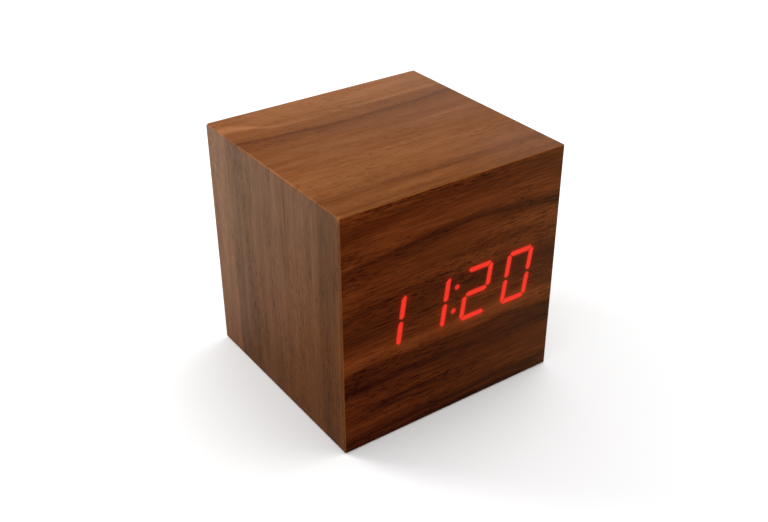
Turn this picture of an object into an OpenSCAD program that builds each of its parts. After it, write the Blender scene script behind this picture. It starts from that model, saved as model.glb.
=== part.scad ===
// Cube-shaped digital alarm clock: fibreboard case under a wood film, with a
// light display that shines through the front and a black battery cover behind.
// Lengths are millimetres. The origin is the middle of the underside, the front
// faces -Y, +X is to the right seen from the front, and Z is up.

/* [Case] */
// Width of the case, left to right
body_w = 63; // [62.5:0.5:80]
// Depth of the case, front to back
body_d = 59; // [52:0.5:80]
// Height of the case
body_h = 63; // [62.5:0.5:80]
// Thickness of the top, bottom and side boards
board_t = 4.7; // [4:0.1:4.9]
// Thickness of the front board
front_t = 3; // [2.5:0.1:4.5]
// Thickness of the wood film
film_t = 0.3; // [0.2:0.05:0.5]
// Rounding of the outer edges
edge_r = 0.7; // [0.6:0.05:1.5]
// Width of the blocks in the back corners
block_w = 8.5; // [7:0.1:8.7]
// Length of the corner blocks, front to back
block_l = 10; // [8:0.5:14]

/* [Display] */
// Segments that are lit in each of the four digits, left to right
lit = ["bc", "bc", "abged", "abcdef"];
// Spacing of the digits
digit_pitch = 12.63; // [12:0.01:12.9]
// Height between the middle lines of the top and bottom segments
digit_h = 12.8; // [11:0.1:14]
// Width between the middle lines of the left and right segments
digit_w = 6.8; // [5.5:0.1:7.4]
// Lean of the digits from upright, in degrees
digit_lean = 8; // [0:0.5:12]
// Width of one segment
segment_w = 1.5; // [1:0.05:1.7]
// Wall between the mitred ends of two segments
segment_gap = 0.16; // [0.1:0.01:0.25]
// Gap between the upper and lower segments at half height
middle_gap = 0.7; // [0.4:0.02:0.9]
// Distance from a digit's corner to its bevel, along the segments' middle lines
corner_cut = 0.55; // [0.2:0.05:1]
// Width of the blunt tips at half height
tip_w = 0.5; // [0.3:0.05:0.8]
// Diameter of a colon dot
dot_d = 1.47; // [1:0.01:2]
// Distance between the two colon dots
dot_spacing = 6.34; // [4:0.02:8]
// Height of the display's middle above the middle of the front
display_rise = 0.25; // [-1:0.05:1]
// Height of the reflector block
reflector_h = 19; // [17.5:0.1:22]
// Depth of the reflector block
reflector_t = 7.3; // [6:0.1:8.5]
// Clearance between the reflector and the window in the front board
window_gap = 0.3; // [0.1:0.05:0.6]
// Thickness of the diffuser sheet
diffuser_t = 0.2; // [0.1:0.05:0.4]

/* [Circuit boards] */
// Thickness of both circuit boards
pcb_t = 1.6; // [1:0.1:2]
// Height of the main board
main_h = 40; // [38:0.5:44]
// Gap between the main board and the sides of the case
main_gap = 0.4; // [0.2:0.1:1]
// Distance from the main board's edge to its screw holes
main_inset = 3.5; // [3:0.1:5]
// Outer diameter of the spacers that carry the main board
spacer_d = 5; // [4:0.1:6]
// Diameter of the small screws
screw_d = 2; // [1.6:0.1:2.2]
// Diameter of the buzzer
buzzer_d = 12; // [9:0.5:13]
// Height of the buzzer
buzzer_h = 8.5; // [5:0.5:10]
// Diameter of the insulated battery wires
wire_d = 1.2; // [0.8:0.1:1.6]
// Number of cores in the ribbon cable
ribbon_cores = 6; // [4:1:8]
// Spacing of the ribbon's cores
ribbon_pitch = 1.27; // [1:0.01:1.3]

/* [Battery bay] */
// Diameter of a battery
cell_d = 10.5; // [10:0.05:10.6]
// Length of a battery over its stud
cell_l = 44.5; // [43:0.1:44.8]
// Clearance round each battery
cell_gap = 0.2; // [0.1:0.01:0.24]
// Wall and floor of the bay
bay_wall = 1.2; // [0.9:0.05:1.3]
// Thickness of the contact plates
contact_t = 0.4; // [0.2:0.05:0.5]
// Length of the contact springs with the batteries in
spring_l = 4.2; // [3.9:0.1:4.5]
// Wire diameter of the contact springs
spring_wire = 0.5; // [0.4:0.05:0.55]
// Diameter of a spring where it leaves its plate, at the wire's middle
spring_base_d = 6.4; // [5.6:0.1:7.4]
// Diameter of a spring where it meets the battery, at the wire's middle
spring_tip_d = 4; // [3:0.1:4.4]

/* [Rear cover] */
// Thickness of the cover
cover_t = 2.6; // [2.4:0.1:3.2]
// Gap between the cover and the case
cover_gap = 0.2; // [0.1:0.05:0.3]
// Depth of the cover's face inside the back edge of the case
cover_recess = 1; // [0.9:0.1:3]
// Diameter of the cover's screws
cover_screw_d = 2.6; // [2.2:0.1:3]
// Thickness of the battery door
door_t = 1.6; // [1.4:0.1:1.7]
// Overlap of the door past the bay's mouth, top and bottom
door_lap = 1; // [0.8:0.05:1.1]
// Overlap of the door past the bay's mouth, left and right
door_side_lap = 0.8; // [0.5:0.05:0.9]
// Gap round the door in its recess
door_gap = 0.15; // [0.1:0.01:0.2]
// Diameter of the door's hinge stubs
stub_d = 0.9; // [0.7:0.05:1]
// Length of the door's hinge stubs
stub_l = 1; // [0.7:0.05:1.1]
// Radial clearance of the hinge stubs
stub_fit = 0.05; // [0.03:0.01:0.08]
// Width of the door's tongue
tongue_w = 10; // [6:0.5:14]
// Height of the door's tongue
tongue_h = 2; // [1.5:0.1:2.5]
// Number of sound slots
vent_count = 4; // [2:1:5]

/* [Keys and socket] */
// Diameter of a key
key_d = 3.8; // [3:0.1:4.4]
// Radial clearance of a key in the cover
key_fit = 0.08; // [0.04:0.01:0.1]
// Height of a key above the cover
key_proud = 0.8; // [0.4:0.05:0.9]
// Spacing of the keys
key_pitch = 6.6; // [6.3:0.05:6.8]
// Travel of a key
key_travel = 0.3; // [0.2:0.05:0.5]
// Side of a key switch
switch_w = 6; // [4.5:0.1:6.2]
// Height of a key switch without its plunger
switch_t = 3.5; // [2.5:0.1:4.5]
// Diameter of a switch plunger
plunger_d = 3.4; // [2:0.1:3.6]
// Length of a switch plunger above its switch
plunger_l = 1.5; // [1:0.1:2]
// Side of the power socket's body
socket_w = 6.6; // [6:0.1:6.8]
// Diameter of the power socket's nose
nose_d = 5.6; // [5:0.1:6]
// Diameter of the hole in the power socket
socket_d = 3.7; // [3.5:0.05:4]
// Diameter of the power socket's centre pin
pin_d = 1.3; // [1.1:0.05:1.5]

/* [Hidden] */

// Smooth round surfaces
$fn = 48;
// A little more than nothing, so that cuts pass their faces
cut = 0.5;
// Radial clearance of a screw in its hole
screw_fit = 0.05;

// Case
front_y = -body_d / 2;
back_y = body_d / 2;
mid_z = body_h / 2;
shell_t = film_t + board_t;
core_y = front_y + film_t;
panel_y = core_y + front_t;
cavity_w = body_w - 2 * shell_t;
cavity_h = body_h - 2 * shell_t;

// Display
display_z = mid_z + display_rise;
lean = tan(digit_lean);
digits = len(lit);
reflector_w = digits * digit_pitch;
reflector_y = core_y + diffuser_t;
chip_size = [1, 0.5, 0.5];

// Main board
main_y = reflector_y + reflector_t;
main_back_y = main_y + pcb_t;
main_w = cavity_w - 2 * main_gap;
main_holes = [for (x = [-1, 1], z = [-1, 1])
    [x * (main_w / 2 - main_inset), display_z + z * (main_h / 2 - main_inset)]];
spacer_l = main_y - panel_y;
screw_bite = front_t * 0.8;
// Places of the parts on the main board, from the display's middle
chip_at = [0, 9];
buzzer_at = [-13, -9.5];
can_at = [15, -5];
crystal_at = [16.5, 9];
resistor_row = [-10.5, 0, 3];
transistor_row = [5, -13.5, 4];
capacitor_column = [-15, 2, 3];

// Rear cover and battery bay
cells = 3;
cover_y = back_y - cover_recess;
cover_in_y = cover_y - cover_t;
cover_w = cavity_w - 2 * cover_gap;
cover_h = cavity_h - 2 * cover_gap;
door_in_y = cover_y - door_t;
door_air = 0.1;
bay_l = cell_l + 2 * contact_t + spring_l;
bay_h = cells * cell_d + (cells + 1) * cell_gap;
cell_y = door_in_y - door_air - cell_gap - cell_d / 2;
bay_in_y = cell_y - cell_d / 2 - cell_gap;
bay_out_y = bay_in_y - bay_wall;
mouth_lip = 1.2;
mouth_w = bay_l - 2 * mouth_lip;
door_w = mouth_w + 2 * door_side_lap;
door_h = bay_h + 2 * door_lap;
door_z = mid_z - door_h / 2;
hinge_y = cover_y - door_t / 2;
hinge_z = door_z + door_t / 2;
// The blocks stand between the bay and the top and bottom boards
block_gap = 0.65;
block_h = (cavity_h - bay_h) / 2 - bay_wall - block_gap;
block_x = cavity_w / 2 - block_w / 2;
block_z = cavity_h / 2 - block_h / 2;
cover_holes = [for (x = [-1, 1], z = [-1, 1]) [x * block_x, mid_z + z * block_z]];
cover_head_d = cover_screw_d * 1.7;
cover_head_h = 1.3;
cover_bite = 7;

// Contacts: a plate's middle line stands this far from the middle of the clock
plate_x = bay_l / 2 - contact_t / 2;
plate_w = 8;
plate_h = 8.4;
tag_w = 2;
tag_l = 3;
tag_fit = 0.1;
spring_turns = 3;
spring_x = bay_l / 2 - contact_t;

// Keys and socket
strip_top = door_z - door_gap;
key_z = (shell_t + cover_gap + strip_top) / 2;
collar_d = key_d + 1.2;
collar_t = 0.8;
key_in_y = cover_in_y - collar_t;
key_board_back_y = key_in_y - plunger_l - switch_t;
key_board_y = key_board_back_y - pcb_t;
// The key board lies between the corner blocks, under the bay
key_board_gap = 0.5;
key_board_w = cavity_w - 2 * (block_w + key_board_gap);
strip_gap = 0.575;
key_board_h = (cavity_h - bay_h) / 2 - bay_wall - 2 * strip_gap;
socket_inset = 4.1;
socket_x = key_board_w / 2 - socket_inset;
socket_floor = 1;
pin_l = 5.3;
// One post stands at the board's left end and one beside the socket, with the
// keys midway between them
post_d = 3.2;
post_inset = 1.9;
post_gap = 0.5;
post_x = [post_inset - key_board_w / 2, socket_x - socket_w / 2 - post_gap - post_d / 2];
post_bite = 4;
key_x = [for (i = [-1:1]) (post_x[0] + post_x[1]) / 2 + i * key_pitch];
plunger_in = 0.8;

// Wires
wire_climb = 6;
s_steps = 16;
s_lead = 0.15;
ribbon_x = -3;
ribbon_inset = 3;
ribbon_land_z = display_z - main_h / 2 + ribbon_inset;

// General shapes

// A flat outline of the XZ plane made a slab from y to y + t
module slab(y, t) {
    translate([0, y + t, 0])
        rotate([90, 0, 0])
            linear_extrude(t)
                children();
}

// A flat outline of the YZ plane made a slab from x to x + t
module side_slab(x, t) {
    translate([x, 0, 0])
        rotate([90, 0, 90])
            linear_extrude(t)
                children();
}

// Children whose +Z is turned to the back, with their origin at [x, y, z]
module facing_back(x, y, z) {
    translate([x, y, z])
        rotate([-90, 0, 0])
            children();
}

// Children whose +Z is turned to the front, with their origin at [x, y, z]
module facing_front(x, y, z) {
    translate([x, y, z])
        rotate([90, 0, 0])
            children();
}

module rounded_rect(w, h, r) {
    square([w - 2 * r, h], center = true);
    square([w, h - 2 * r], center = true);
    for (x = [-1, 1], y = [-1, 1])
        translate([x * (w / 2 - r), y * (h / 2 - r)])
            circle(r);
}

// A bar with round ends between two points, each end drawn in steps of 15 degrees
module capsule(a, b, d) {
    turn = atan2((b - a)[1], (b - a)[0]);
    polygon(concat(
        [for (i = [-6:6]) b + d / 2 * [cos(turn + 15 * i), sin(turn + 15 * i)]],
        [for (i = [6:18]) a + d / 2 * [cos(turn + 15 * i), sin(turn + 15 * i)]]
    ));
}

// A block on the back of the main board, given by its middle and size
module on_main_board(x, z, size, y = main_back_y) {
    translate([x - size[0] / 2, y, display_z + z - size[2] / 2])
        cube(size);
}

// A pan-head screw with a cross recess: its head stands on z = 0, its shank points down
module screw(d, head_d, head_h, shank_l) {
    dome = head_h * 0.35;
    difference() {
        rotate_extrude()
            polygon([
                [0, -shank_l], [d / 4, -shank_l], [d / 2, -shank_l + d / 2], [d / 2, 0],
                [head_d / 2, 0], [head_d / 2, head_h - dome], [head_d / 2 - dome, head_h], [0, head_h]
            ]);
        for (a = [0, 90])
            rotate(a)
                translate([-head_d * 0.3, -head_d * 0.06, head_h * 0.4])
                    cube([head_d * 0.6, head_d * 0.12, head_h]);
    }
}

// The directions of a path: straight along +Z at its ends, and between them the
// mean of the two runs that meet at each point
function unit(v) = v / norm(v);
function tangents(path) = [
    for (i = [0:len(path) - 1])
        i == 0 || i == len(path) - 1 ? [0, 0, 1] :
        unit(unit(path[i + 1] - path[i]) + unit(path[i] - path[i - 1]))
];

// A closed tube: a flat outline carried through a path's points, with the
// outline's x along across[i] and its y along up[i]
module tube(path, across, up, outline) {
    sides = len(outline);
    last = len(path) - 1;
    points = [
        for (i = [0:last], o = outline)
            path[i] + o[0] * across[i] + o[1] * up[i]
    ];
    walls = [
        for (i = [0:last - 1], k = [0:sides - 1])
            let (a = i * sides + k, b = i * sides + (k + 1) % sides)
            each [[a, a + sides, b], [b, a + sides, b + sides]]
    ];
    start = [for (k = [0:sides - 1]) k];
    end = [for (k = [sides - 1:-1:0]) last * sides + k];
    polyhedron(points, concat(walls, [start, end]));
}

function ring(d, sides) = [
    for (k = [0:sides - 1])
        d / 2 * [cos(360 * k / sides), sin(360 * k / sides)]
];

// A path along +Z by run, with straight ends, that climbs towards +Y between
// them: the height follows s minus the sine of a full turn at s
function s_path(run, climb) = concat(
    [[0, 0, 0]],
    [
        for (i = [0:s_steps])
            let (s = i / s_steps)
            [0, climb * (s - sin(360 * s) / (2 * PI)), run * (s_lead + s * (1 - 2 * s_lead))]
    ],
    [[0, climb, run]]
);

// An outline carried along such a path, with its x along X all the way
module s_run(run, climb, outline) {
    path = s_path(run, climb);
    along = tangents(path);
    tube(path, [for (t = along) [1, 0, 0]], [for (t = along) cross(t, [1, 0, 0])], outline);
}

// Case

// The case's outside, drawn in by inset at the front and round it, and as far
// past its back as past says
module case_form(inset, past = 0) {
    w = body_w - 2 * inset;
    h = body_h - 2 * inset;
    r = max(edge_r - inset, 0.05);
    d = body_d + 4 * edge_r + past;
    middle_y = front_y + inset + d / 2;
    intersection() {
        slab(front_y + inset, body_d - inset + past)
            translate([0, mid_z])
                rounded_rect(w, h, r);
        side_slab(-body_w / 2, body_w)
            translate([middle_y, mid_z])
                rounded_rect(d, h, r);
        linear_extrude(body_h)
            translate([0, middle_y])
                rounded_rect(w, d, r);
    }
}

// The wedge of one side between its two mitres, shell_t deep, in the XZ plane
function side_wedge(side) =
    let (x = body_w / 2, z = body_h, m = shell_t)
    side == "top" ? [[-x, z], [x, z], [x - m, z - m], [m - x, z - m]] :
    side == "bottom" ? [[-x, 0], [x, 0], [x - m, m], [m - x, m]] :
    side == "left" ? [[-x, 0], [-x, z], [m - x, z - m], [m - x, m]] :
    [[x, 0], [x, z], [x - m, z - m], [x - m, m]];

// The wedge behind the front face, between its mitres with the four sides
module front_wedge() {
    m = shell_t;
    intersection() {
        side_slab(-body_w / 2, body_w)
            polygon([[front_y, 0], [front_y, body_h], [front_y + m, body_h - m], [front_y + m, m]]);
        linear_extrude(body_h)
            polygon([
                [-body_w / 2, front_y], [body_w / 2, front_y],
                [body_w / 2 - m, front_y + m], [m - body_w / 2, front_y + m]
            ]);
    }
}

module bottom_wedge() {
    slab(front_y, body_d)
        polygon(side_wedge("bottom"));
}

// The whole skin of wood film, open at the back
module film_skin() {
    difference() {
        case_form(0);
        case_form(film_t, cut);
    }
}

module front_film() {
    color("#5e2c12")
        difference() {
            intersection() {
                film_skin();
                front_wedge();
            }
            slab(front_y - cut, film_t + 2 * cut)
                lit_outline();
        }
}

// The film over the top and both sides is one folded sheet
module wrap_film() {
    color("#7d4c2e")
        difference() {
            film_skin();
            front_wedge();
            bottom_wedge();
        }
}

module bottom_film() {
    color("#6b3f26")
        difference() {
            intersection() {
                film_skin();
                bottom_wedge();
            }
            front_wedge();
        }
}

module lit_segments() {
    color("#e0301e")
        slab(front_y, film_t)
            lit_outline();
}

module front_panel() {
    color("#b08a5c")
        difference() {
            intersection() {
                case_form(film_t);
                slab(core_y, front_t)
                    translate([0, mid_z])
                        square([body_w, body_h], center = true);
            }
            slab(core_y - cut, front_t + 2 * cut)
                translate([0, display_z])
                    rounded_rect(reflector_w + 2 * window_gap, reflector_h + 2 * window_gap, window_gap);
            for (p = main_holes)
                facing_front(p[0], panel_y + cut, p[1])
                    cylinder(d = screw_d + 2 * screw_fit, h = screw_bite + cut);
        }
}

// One board of the band, mitred where it meets its neighbours
module band_board(side) {
    color("#b08a5c")
        intersection() {
            case_form(film_t);
            slab(panel_y, back_y - panel_y)
                polygon(side_wedge(side));
        }
}

module top_panel() {
    band_board("top");
}

module bottom_panel() {
    band_board("bottom");
}

module left_panel() {
    band_board("left");
}

module right_panel() {
    band_board("right");
}

module corner_blocks() {
    color("#c8a878")
        for (p = cover_holes)
            difference() {
                slab(cover_in_y - block_l, block_l)
                    translate(p)
                        square([block_w, block_h], center = true);
                facing_front(p[0], cover_in_y + cut, p[1])
                    cylinder(d = cover_screw_d + 2 * screw_fit, h = cover_bite + cut);
            }
}

// Display

function leaned(p) = [p[0] + p[1] * lean, p[1]];
function digit_x(i) = (i - (digits - 1) / 2) * digit_pitch;

// A segment's outline before the digit leans: the top one, the right upper one and
// the middle one are drawn, with mitred and bevelled ends, and the rest are mirrored
mitre = segment_gap / sqrt(2);
function flipped(points) = [for (i = [len(points) - 1:-1:0]) [-points[i][0], points[i][1]]];
function upended(points) = [for (i = [len(points) - 1:-1:0]) [points[i][0], -points[i][1]]];

function top_segment() =
    let (w = digit_w / 2, h = digit_h / 2, s = segment_w / 2, tip = s - corner_cut,
        end = [
            [w - s - mitre, h - s], [w + (tip - mitre) / 2, h + (tip + mitre) / 2], [w - corner_cut, h + s]
        ])
    concat(end, flipped(end));

function side_segment() =
    let (w = digit_w / 2, h = digit_h / 2, s = segment_w / 2, tip = s - corner_cut, m = middle_gap / 2)
    [
        [w + s, h - corner_cut], [w + (tip + mitre) / 2, h + (tip - mitre) / 2], [w - s, h - s - mitre],
        [w - s, m + s - tip_w / 2], [w - tip_w / 2, m], [w + tip_w / 2, m], [w + s, m + s - tip_w / 2]
    ];

// The middle segment's bevels keep the same wall from the side segments' bevels
function middle_segment() =
    let (s = segment_w / 2, tip = digit_w / 2 - tip_w / 2 + middle_gap / 2 - 2 * mitre,
        end = [[tip - s, -s], [tip, 0], [tip - s, s]])
    concat(end, flipped(end));

function segment_outline(letter) =
    letter == "a" ? top_segment() :
    letter == "b" ? side_segment() :
    letter == "c" ? upended(side_segment()) :
    letter == "d" ? upended(top_segment()) :
    letter == "e" ? flipped(upended(side_segment())) :
    letter == "f" ? flipped(side_segment()) :
    middle_segment();

module segment(letter) {
    polygon([for (p = segment_outline(letter)) leaned(p)]);
}

// The middle of a segment's length, before the digit leans
function segment_middle(letter) =
    let (w = digit_w / 2, h = digit_h / 2)
    letter == "a" ? [0, h] :
    letter == "b" ? [w, h / 2] :
    letter == "c" ? [w, -h / 2] :
    letter == "d" ? [0, -h] :
    letter == "e" ? [-w, -h / 2] :
    letter == "f" ? [-w, h / 2] :
    [0, 0];

// The digits' outline, given the letters of each digit's segments
module digit_outline(letters) {
    translate([0, display_z]) {
        for (i = [0:digits - 1])
            translate([digit_x(i), 0])
                for (letter = letters[i])
                    segment(letter);
        for (up = [-1, 1])
            translate(leaned([0, up * dot_spacing / 2]))
                circle(d = dot_d);
    }
}

module lit_outline() {
    digit_outline(lit);
}

module light_diffuser() {
    color("#f2efe8")
        slab(core_y, diffuser_t)
            translate([0, display_z])
                square([reflector_w, reflector_h], center = true);
}

module segment_reflector() {
    color("#e8e6e0")
        slab(reflector_y, reflector_t)
            difference() {
                translate([0, display_z])
                    square([reflector_w, reflector_h], center = true);
                digit_outline([for (i = [1:digits]) "abcdefg"]);
            }
}

// One light chip lies in the middle of each segment and dot
module led_chip(p) {
    translate([p[0] - chip_size[0] / 2, main_y - chip_size[1], display_z + p[1] - chip_size[2] / 2])
        cube(chip_size);
}

module led_chips() {
    color("#f6e9b8") {
        for (i = [0:digits - 1], letter = "abcdefg")
            led_chip(leaned(segment_middle(letter)) + [digit_x(i), 0]);
        for (up = [-1, 1])
            led_chip(leaned([0, up * dot_spacing / 2]));
    }
}

// Main board

module main_board() {
    color("#1f6b3a")
        slab(main_y, pcb_t)
            difference() {
                translate([0, display_z])
                    square([main_w, main_h], center = true);
                for (p = main_holes)
                    translate(p)
                        circle(d = screw_d + 4 * screw_fit);
            }
}

module board_spacers() {
    color("#d8d4c8")
        slab(panel_y, spacer_l)
            for (p = main_holes)
                translate(p)
                    difference() {
                        circle(d = spacer_d);
                        circle(d = screw_d + 4 * screw_fit);
                    }
}

module board_screws() {
    color("#a8a8a4")
        for (p = main_holes)
            facing_back(p[0], main_back_y, p[1])
                screw(screw_d, screw_d * 1.9, screw_d * 0.65, pcb_t + spacer_l + screw_bite - 0.2);
}

chip_body = [17.9, 2.3, 7.5];
chip_lift = 0.15;
leg_t = 0.25;
leg_w = 0.42;
leg_pitch = 1.27;
legs_a_side = 14;
leg_reach = 1.4;

module control_chip() {
    color("#2b2b2d")
        difference() {
            on_main_board(chip_at[0], chip_at[1], chip_body, main_back_y + chip_lift);
            facing_front(chip_at[0] - chip_body[0] / 2 + 1.2, main_back_y + chip_lift + chip_body[1] + cut,
                display_z + chip_at[1] - 2.4)
                cylinder(d = 1.2, h = cut + 0.15);
        }
}

// A leg leaves the chip's side at half height, steps down and lies on the board
module leg_outline() {
    half = chip_body[2] / 2;
    high = chip_lift + chip_body[1] / 2;
    step = leg_reach * 0.45;
    translate([0, half])
        polygon([
            [high, 0], [high, step], [leg_t, step], [leg_t, leg_reach], [0, leg_reach],
            [0, step - leg_t], [high - leg_t, step - leg_t], [high - leg_t, 0]
        ]);
}

module chip_legs() {
    color("#c4c4c0")
        for (i = [0:legs_a_side - 1], side = [0, 1])
            translate([0, main_back_y, display_z + chip_at[1]])
                mirror([0, 0, side])
                    side_slab(chip_at[0] + (i - (legs_a_side - 1) / 2) * leg_pitch - leg_w / 2, leg_w)
                        leg_outline();
}

transistor_body = [2.9, 1, 1.3];
transistor_lift = 0.1;
foot = [0.4, 0.35, 0.7];
// A transistor's three feet, from its middle
feet_at = [[-0.95, -0.9], [0.95, -0.9], [0, 0.9]];

// A row of like parts: starts at row[0], row[1] from the display's middle, row[2] apart
module driver_transistors() {
    color("#303034")
        for (i = [0:digits - 1]) {
            x = transistor_row[0] + i * transistor_row[2];
            z = transistor_row[1];
            on_main_board(x, z, transistor_body, main_back_y + transistor_lift);
            for (at = feet_at)
                on_main_board(x + at[0], z + at[1], foot);
        }
}

// A small part with a metal cap on each end, its caps a little larger than its body
cap_w = 0.4;
cap_at = 0.82;

module capped_part(x, z, body, cap_t, cap_h) {
    on_main_board(x, z, body);
    for (end = [-1, 1])
        on_main_board(x + end * cap_at, z, [cap_w, cap_t, cap_h]);
}

resistor_body = [1.3, 0.5, 1.2];
capacitor_body = [1.3, 0.85, 1.2];
resistor_cap_t = 0.58;
capacitor_cap_t = 0.9;
cap_h = 1.25;

module resistors() {
    color("#26262a")
        for (i = [0:7])
            capped_part(resistor_row[0] + i * resistor_row[2], resistor_row[1],
                resistor_body, resistor_cap_t, cap_h);
}

module ceramic_capacitors() {
    color("#b9925f")
        for (i = [0:3])
            capped_part(capacitor_column[0], capacitor_column[1] + i * capacitor_column[2],
                capacitor_body, capacitor_cap_t, cap_h);
}

sleeve_d = 5;
sleeve_l = 7;

// The can's sleeve is drawn in by a groove near the board and rounds over the top
module supply_capacitor() {
    r = sleeve_d / 2;
    l = sleeve_l;
    color("#33405e")
        facing_back(can_at[0], main_back_y, display_z + can_at[1])
            rotate_extrude()
                polygon([
                    [0, 0], [r - 0.2, 0], [r, 0.3], [r, 1], [r - 0.2, 1.25], [r - 0.2, 1.45],
                    [r, 1.7], [r, l - 0.3], [r - 0.3, l], [r - 0.6, l], [r - 0.7, l - 0.15], [0, l - 0.15]
                ]);
}

module clock_crystal() {
    can_d = 2;
    can_l = 6;
    lead_d = 0.35;
    axis_y = main_back_y + can_d / 2;
    color("#b8babd") {
        translate([crystal_at[0] - can_l / 2, axis_y, display_z + crystal_at[1]])
            rotate([0, 90, 0])
                rotate_extrude()
                    polygon([
                        [0, 0], [0.9, 0], [1, 0.1], [1, can_l - 0.3], [0.7, can_l], [0, can_l]
                    ]);
        for (side = [-1, 1])
            translate([crystal_at[0] - can_l / 2, 0, display_z + crystal_at[1] + side * 0.5]) {
                translate([-1, axis_y, 0])
                    rotate([0, 90, 0])
                        cylinder(d = lead_d, h = 1.2);
                facing_back(-1, main_back_y, 0)
                    cylinder(d = lead_d, h = can_d / 2 + lead_d / 2);
            }
    }
}

module buzzer() {
    r = buzzer_d / 2;
    color("#232325")
        facing_back(buzzer_at[0], main_back_y, display_z + buzzer_at[1])
            rotate_extrude()
                polygon([
                    [0, 0], [r, 0], [r, buzzer_h - 0.5], [r - 0.5, buzzer_h],
                    [1.8, buzzer_h], [1.2, buzzer_h - 0.4], [1.2, buzzer_h - 1.5], [0, buzzer_h - 1.5]
                ]);
}

// Rear cover and battery bay

function cell_z(i) = mid_z + (i - (cells - 1) / 2) * (cell_d + cell_gap);
// Batteries point right, left and right from the bottom up
function cell_side(i) = i % 2 == 0 ? 1 : -1;

module door_recess() {
    slab(door_in_y - door_air, door_t + door_air + cut) {
        translate([0, mid_z])
            square([door_w + 2 * door_gap, door_h + 2 * door_gap], center = true);
        translate([-tongue_w / 2 - door_gap, door_z + door_h])
            square([tongue_w + 2 * door_gap, tongue_h + door_gap]);
    }
    for (side = [0, 1])
        mirror([side, 0, 0])
            translate([door_w / 2, hinge_y, hinge_z])
                rotate([0, 90, 0])
                    cylinder(d = stub_d + 2 * stub_fit, h = stub_l + 0.1);
}

// The hollow above the door's tongue, where a finger reaches in
module finger_hollow() {
    r = 5;
    deep = 1.2;
    w = tongue_w + 2;
    above_tongue = 1;
    translate([-w / 2, cover_y + r - deep, door_z + door_h + tongue_h + above_tongue])
        rotate([0, 90, 0])
            cylinder(r = r, h = w);
}

module sound_slots() {
    first_x = -9;
    pitch = 2;
    w = 1;
    l = 4;
    slab(cover_in_y - cut, cover_t + 2 * cut)
        for (i = [0:vent_count - 1])
            translate([first_x - pitch * i, mid_z + block_z])
                capsule([0, w / 2 - l / 2], [0, l / 2 - w / 2], w);
}

// Low ribs on the bay's floor keep the batteries apart
module bay_ribs() {
    rib_w = 1.1;
    rib_h = 2;
    for (i = [0:cells - 2])
        slab(bay_in_y, rib_h)
            translate([0, (cell_z(i) + cell_z(i + 1)) / 2])
                square([mouth_w, rib_w], center = true);
}

module bay_tub() {
    difference() {
        slab(bay_out_y, cover_in_y - bay_out_y)
            translate([0, mid_z])
                square([bay_l + 2 * bay_wall, bay_h + 2 * bay_wall], center = true);
        slab(bay_in_y, cover_in_y - bay_in_y + cut)
            translate([0, mid_z])
                square([bay_l, bay_h], center = true);
    }
}

module tag_slots() {
    slab(bay_out_y - cut, bay_wall + 2 * cut) {
        translate([-plate_x, cell_z(0)])
            square([contact_t + 2 * tag_fit, tag_w + 2 * tag_fit], center = true);
        translate([plate_x, cell_z(cells - 1)])
            square([contact_t + 2 * tag_fit, tag_w + 2 * tag_fit], center = true);
    }
}

module rear_cover() {
    color("#1b1b1d")
        difference() {
            union() {
                slab(cover_in_y, cover_t)
                    translate([0, mid_z])
                        rounded_rect(cover_w, cover_h, 1);
                bay_tub();
                bay_ribs();
                for (x = post_x)
                    facing_front(x, cover_in_y, key_z)
                        cylinder(d = post_d, h = cover_in_y - key_board_back_y);
            }
            slab(cover_in_y - cut, cover_t + 2 * cut)
                translate([0, mid_z])
                    square([mouth_w, bay_h], center = true);
            door_recess();
            finger_hollow();
            sound_slots();
            tag_slots();
            for (p = cover_holes) {
                facing_front(p[0], cover_y + cut, p[1])
                    cylinder(d = cover_screw_d + 4 * screw_fit, h = cover_t + 2 * cut);
                facing_front(p[0], cover_y + cut, p[1])
                    cylinder(d = cover_head_d + 0.4, h = cover_head_h + cut);
            }
            for (x = key_x)
                facing_front(x, cover_y + cut, key_z)
                    cylinder(d = key_d + 2 * key_fit, h = cover_t + 2 * cut);
            facing_front(socket_x, cover_y + cut, key_z)
                cylinder(d = nose_d + 0.2, h = cover_t + 2 * cut);
            for (x = post_x)
                facing_back(x, key_board_back_y - cut, key_z)
                    cylinder(d = screw_d + 2 * screw_fit, h = post_bite + cut);
        }
}

module rear_screws() {
    color("#8f8f8c")
        for (p = cover_holes)
            facing_back(p[0], cover_y - cover_head_h, p[1])
                screw(cover_screw_d, cover_head_d, cover_head_h,
                    cover_t - cover_head_h + cover_bite - 0.3);
}

stud_d = 3.8;
stud_l = 1.1;
dish_d = 6.4;
dish_depth = 0.15;
cap_d = 6.2;
crimp = 0.4;

// A battery with its stud towards +Z and its flat end, a shallow dish, on z = 0
module battery() {
    r = cell_d / 2;
    can_l = cell_l - stud_l;
    rotate_extrude()
        polygon([
            [0, dish_depth], [dish_d / 2, dish_depth], [dish_d / 2 + 0.2, 0], [r - crimp, 0], [r, crimp],
            [r, can_l - 0.1 - crimp], [r - crimp, can_l - 0.1], [cap_d / 2 + 0.2, can_l - 0.1],
            [cap_d / 2, can_l], [stud_d / 2, can_l], [stud_d / 2, cell_l - 0.3],
            [stud_d / 2 - 0.3, cell_l], [0, cell_l]
        ]);
}

module batteries() {
    color("#c9a13b")
        for (i = [0:cells - 1])
            mirror([cell_side(i) < 0 ? 1 : 0, 0, 0])
                translate([spring_x - cell_l, cell_y, cell_z(i)])
                    rotate([0, 90, 0])
                        battery();
}

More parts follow.
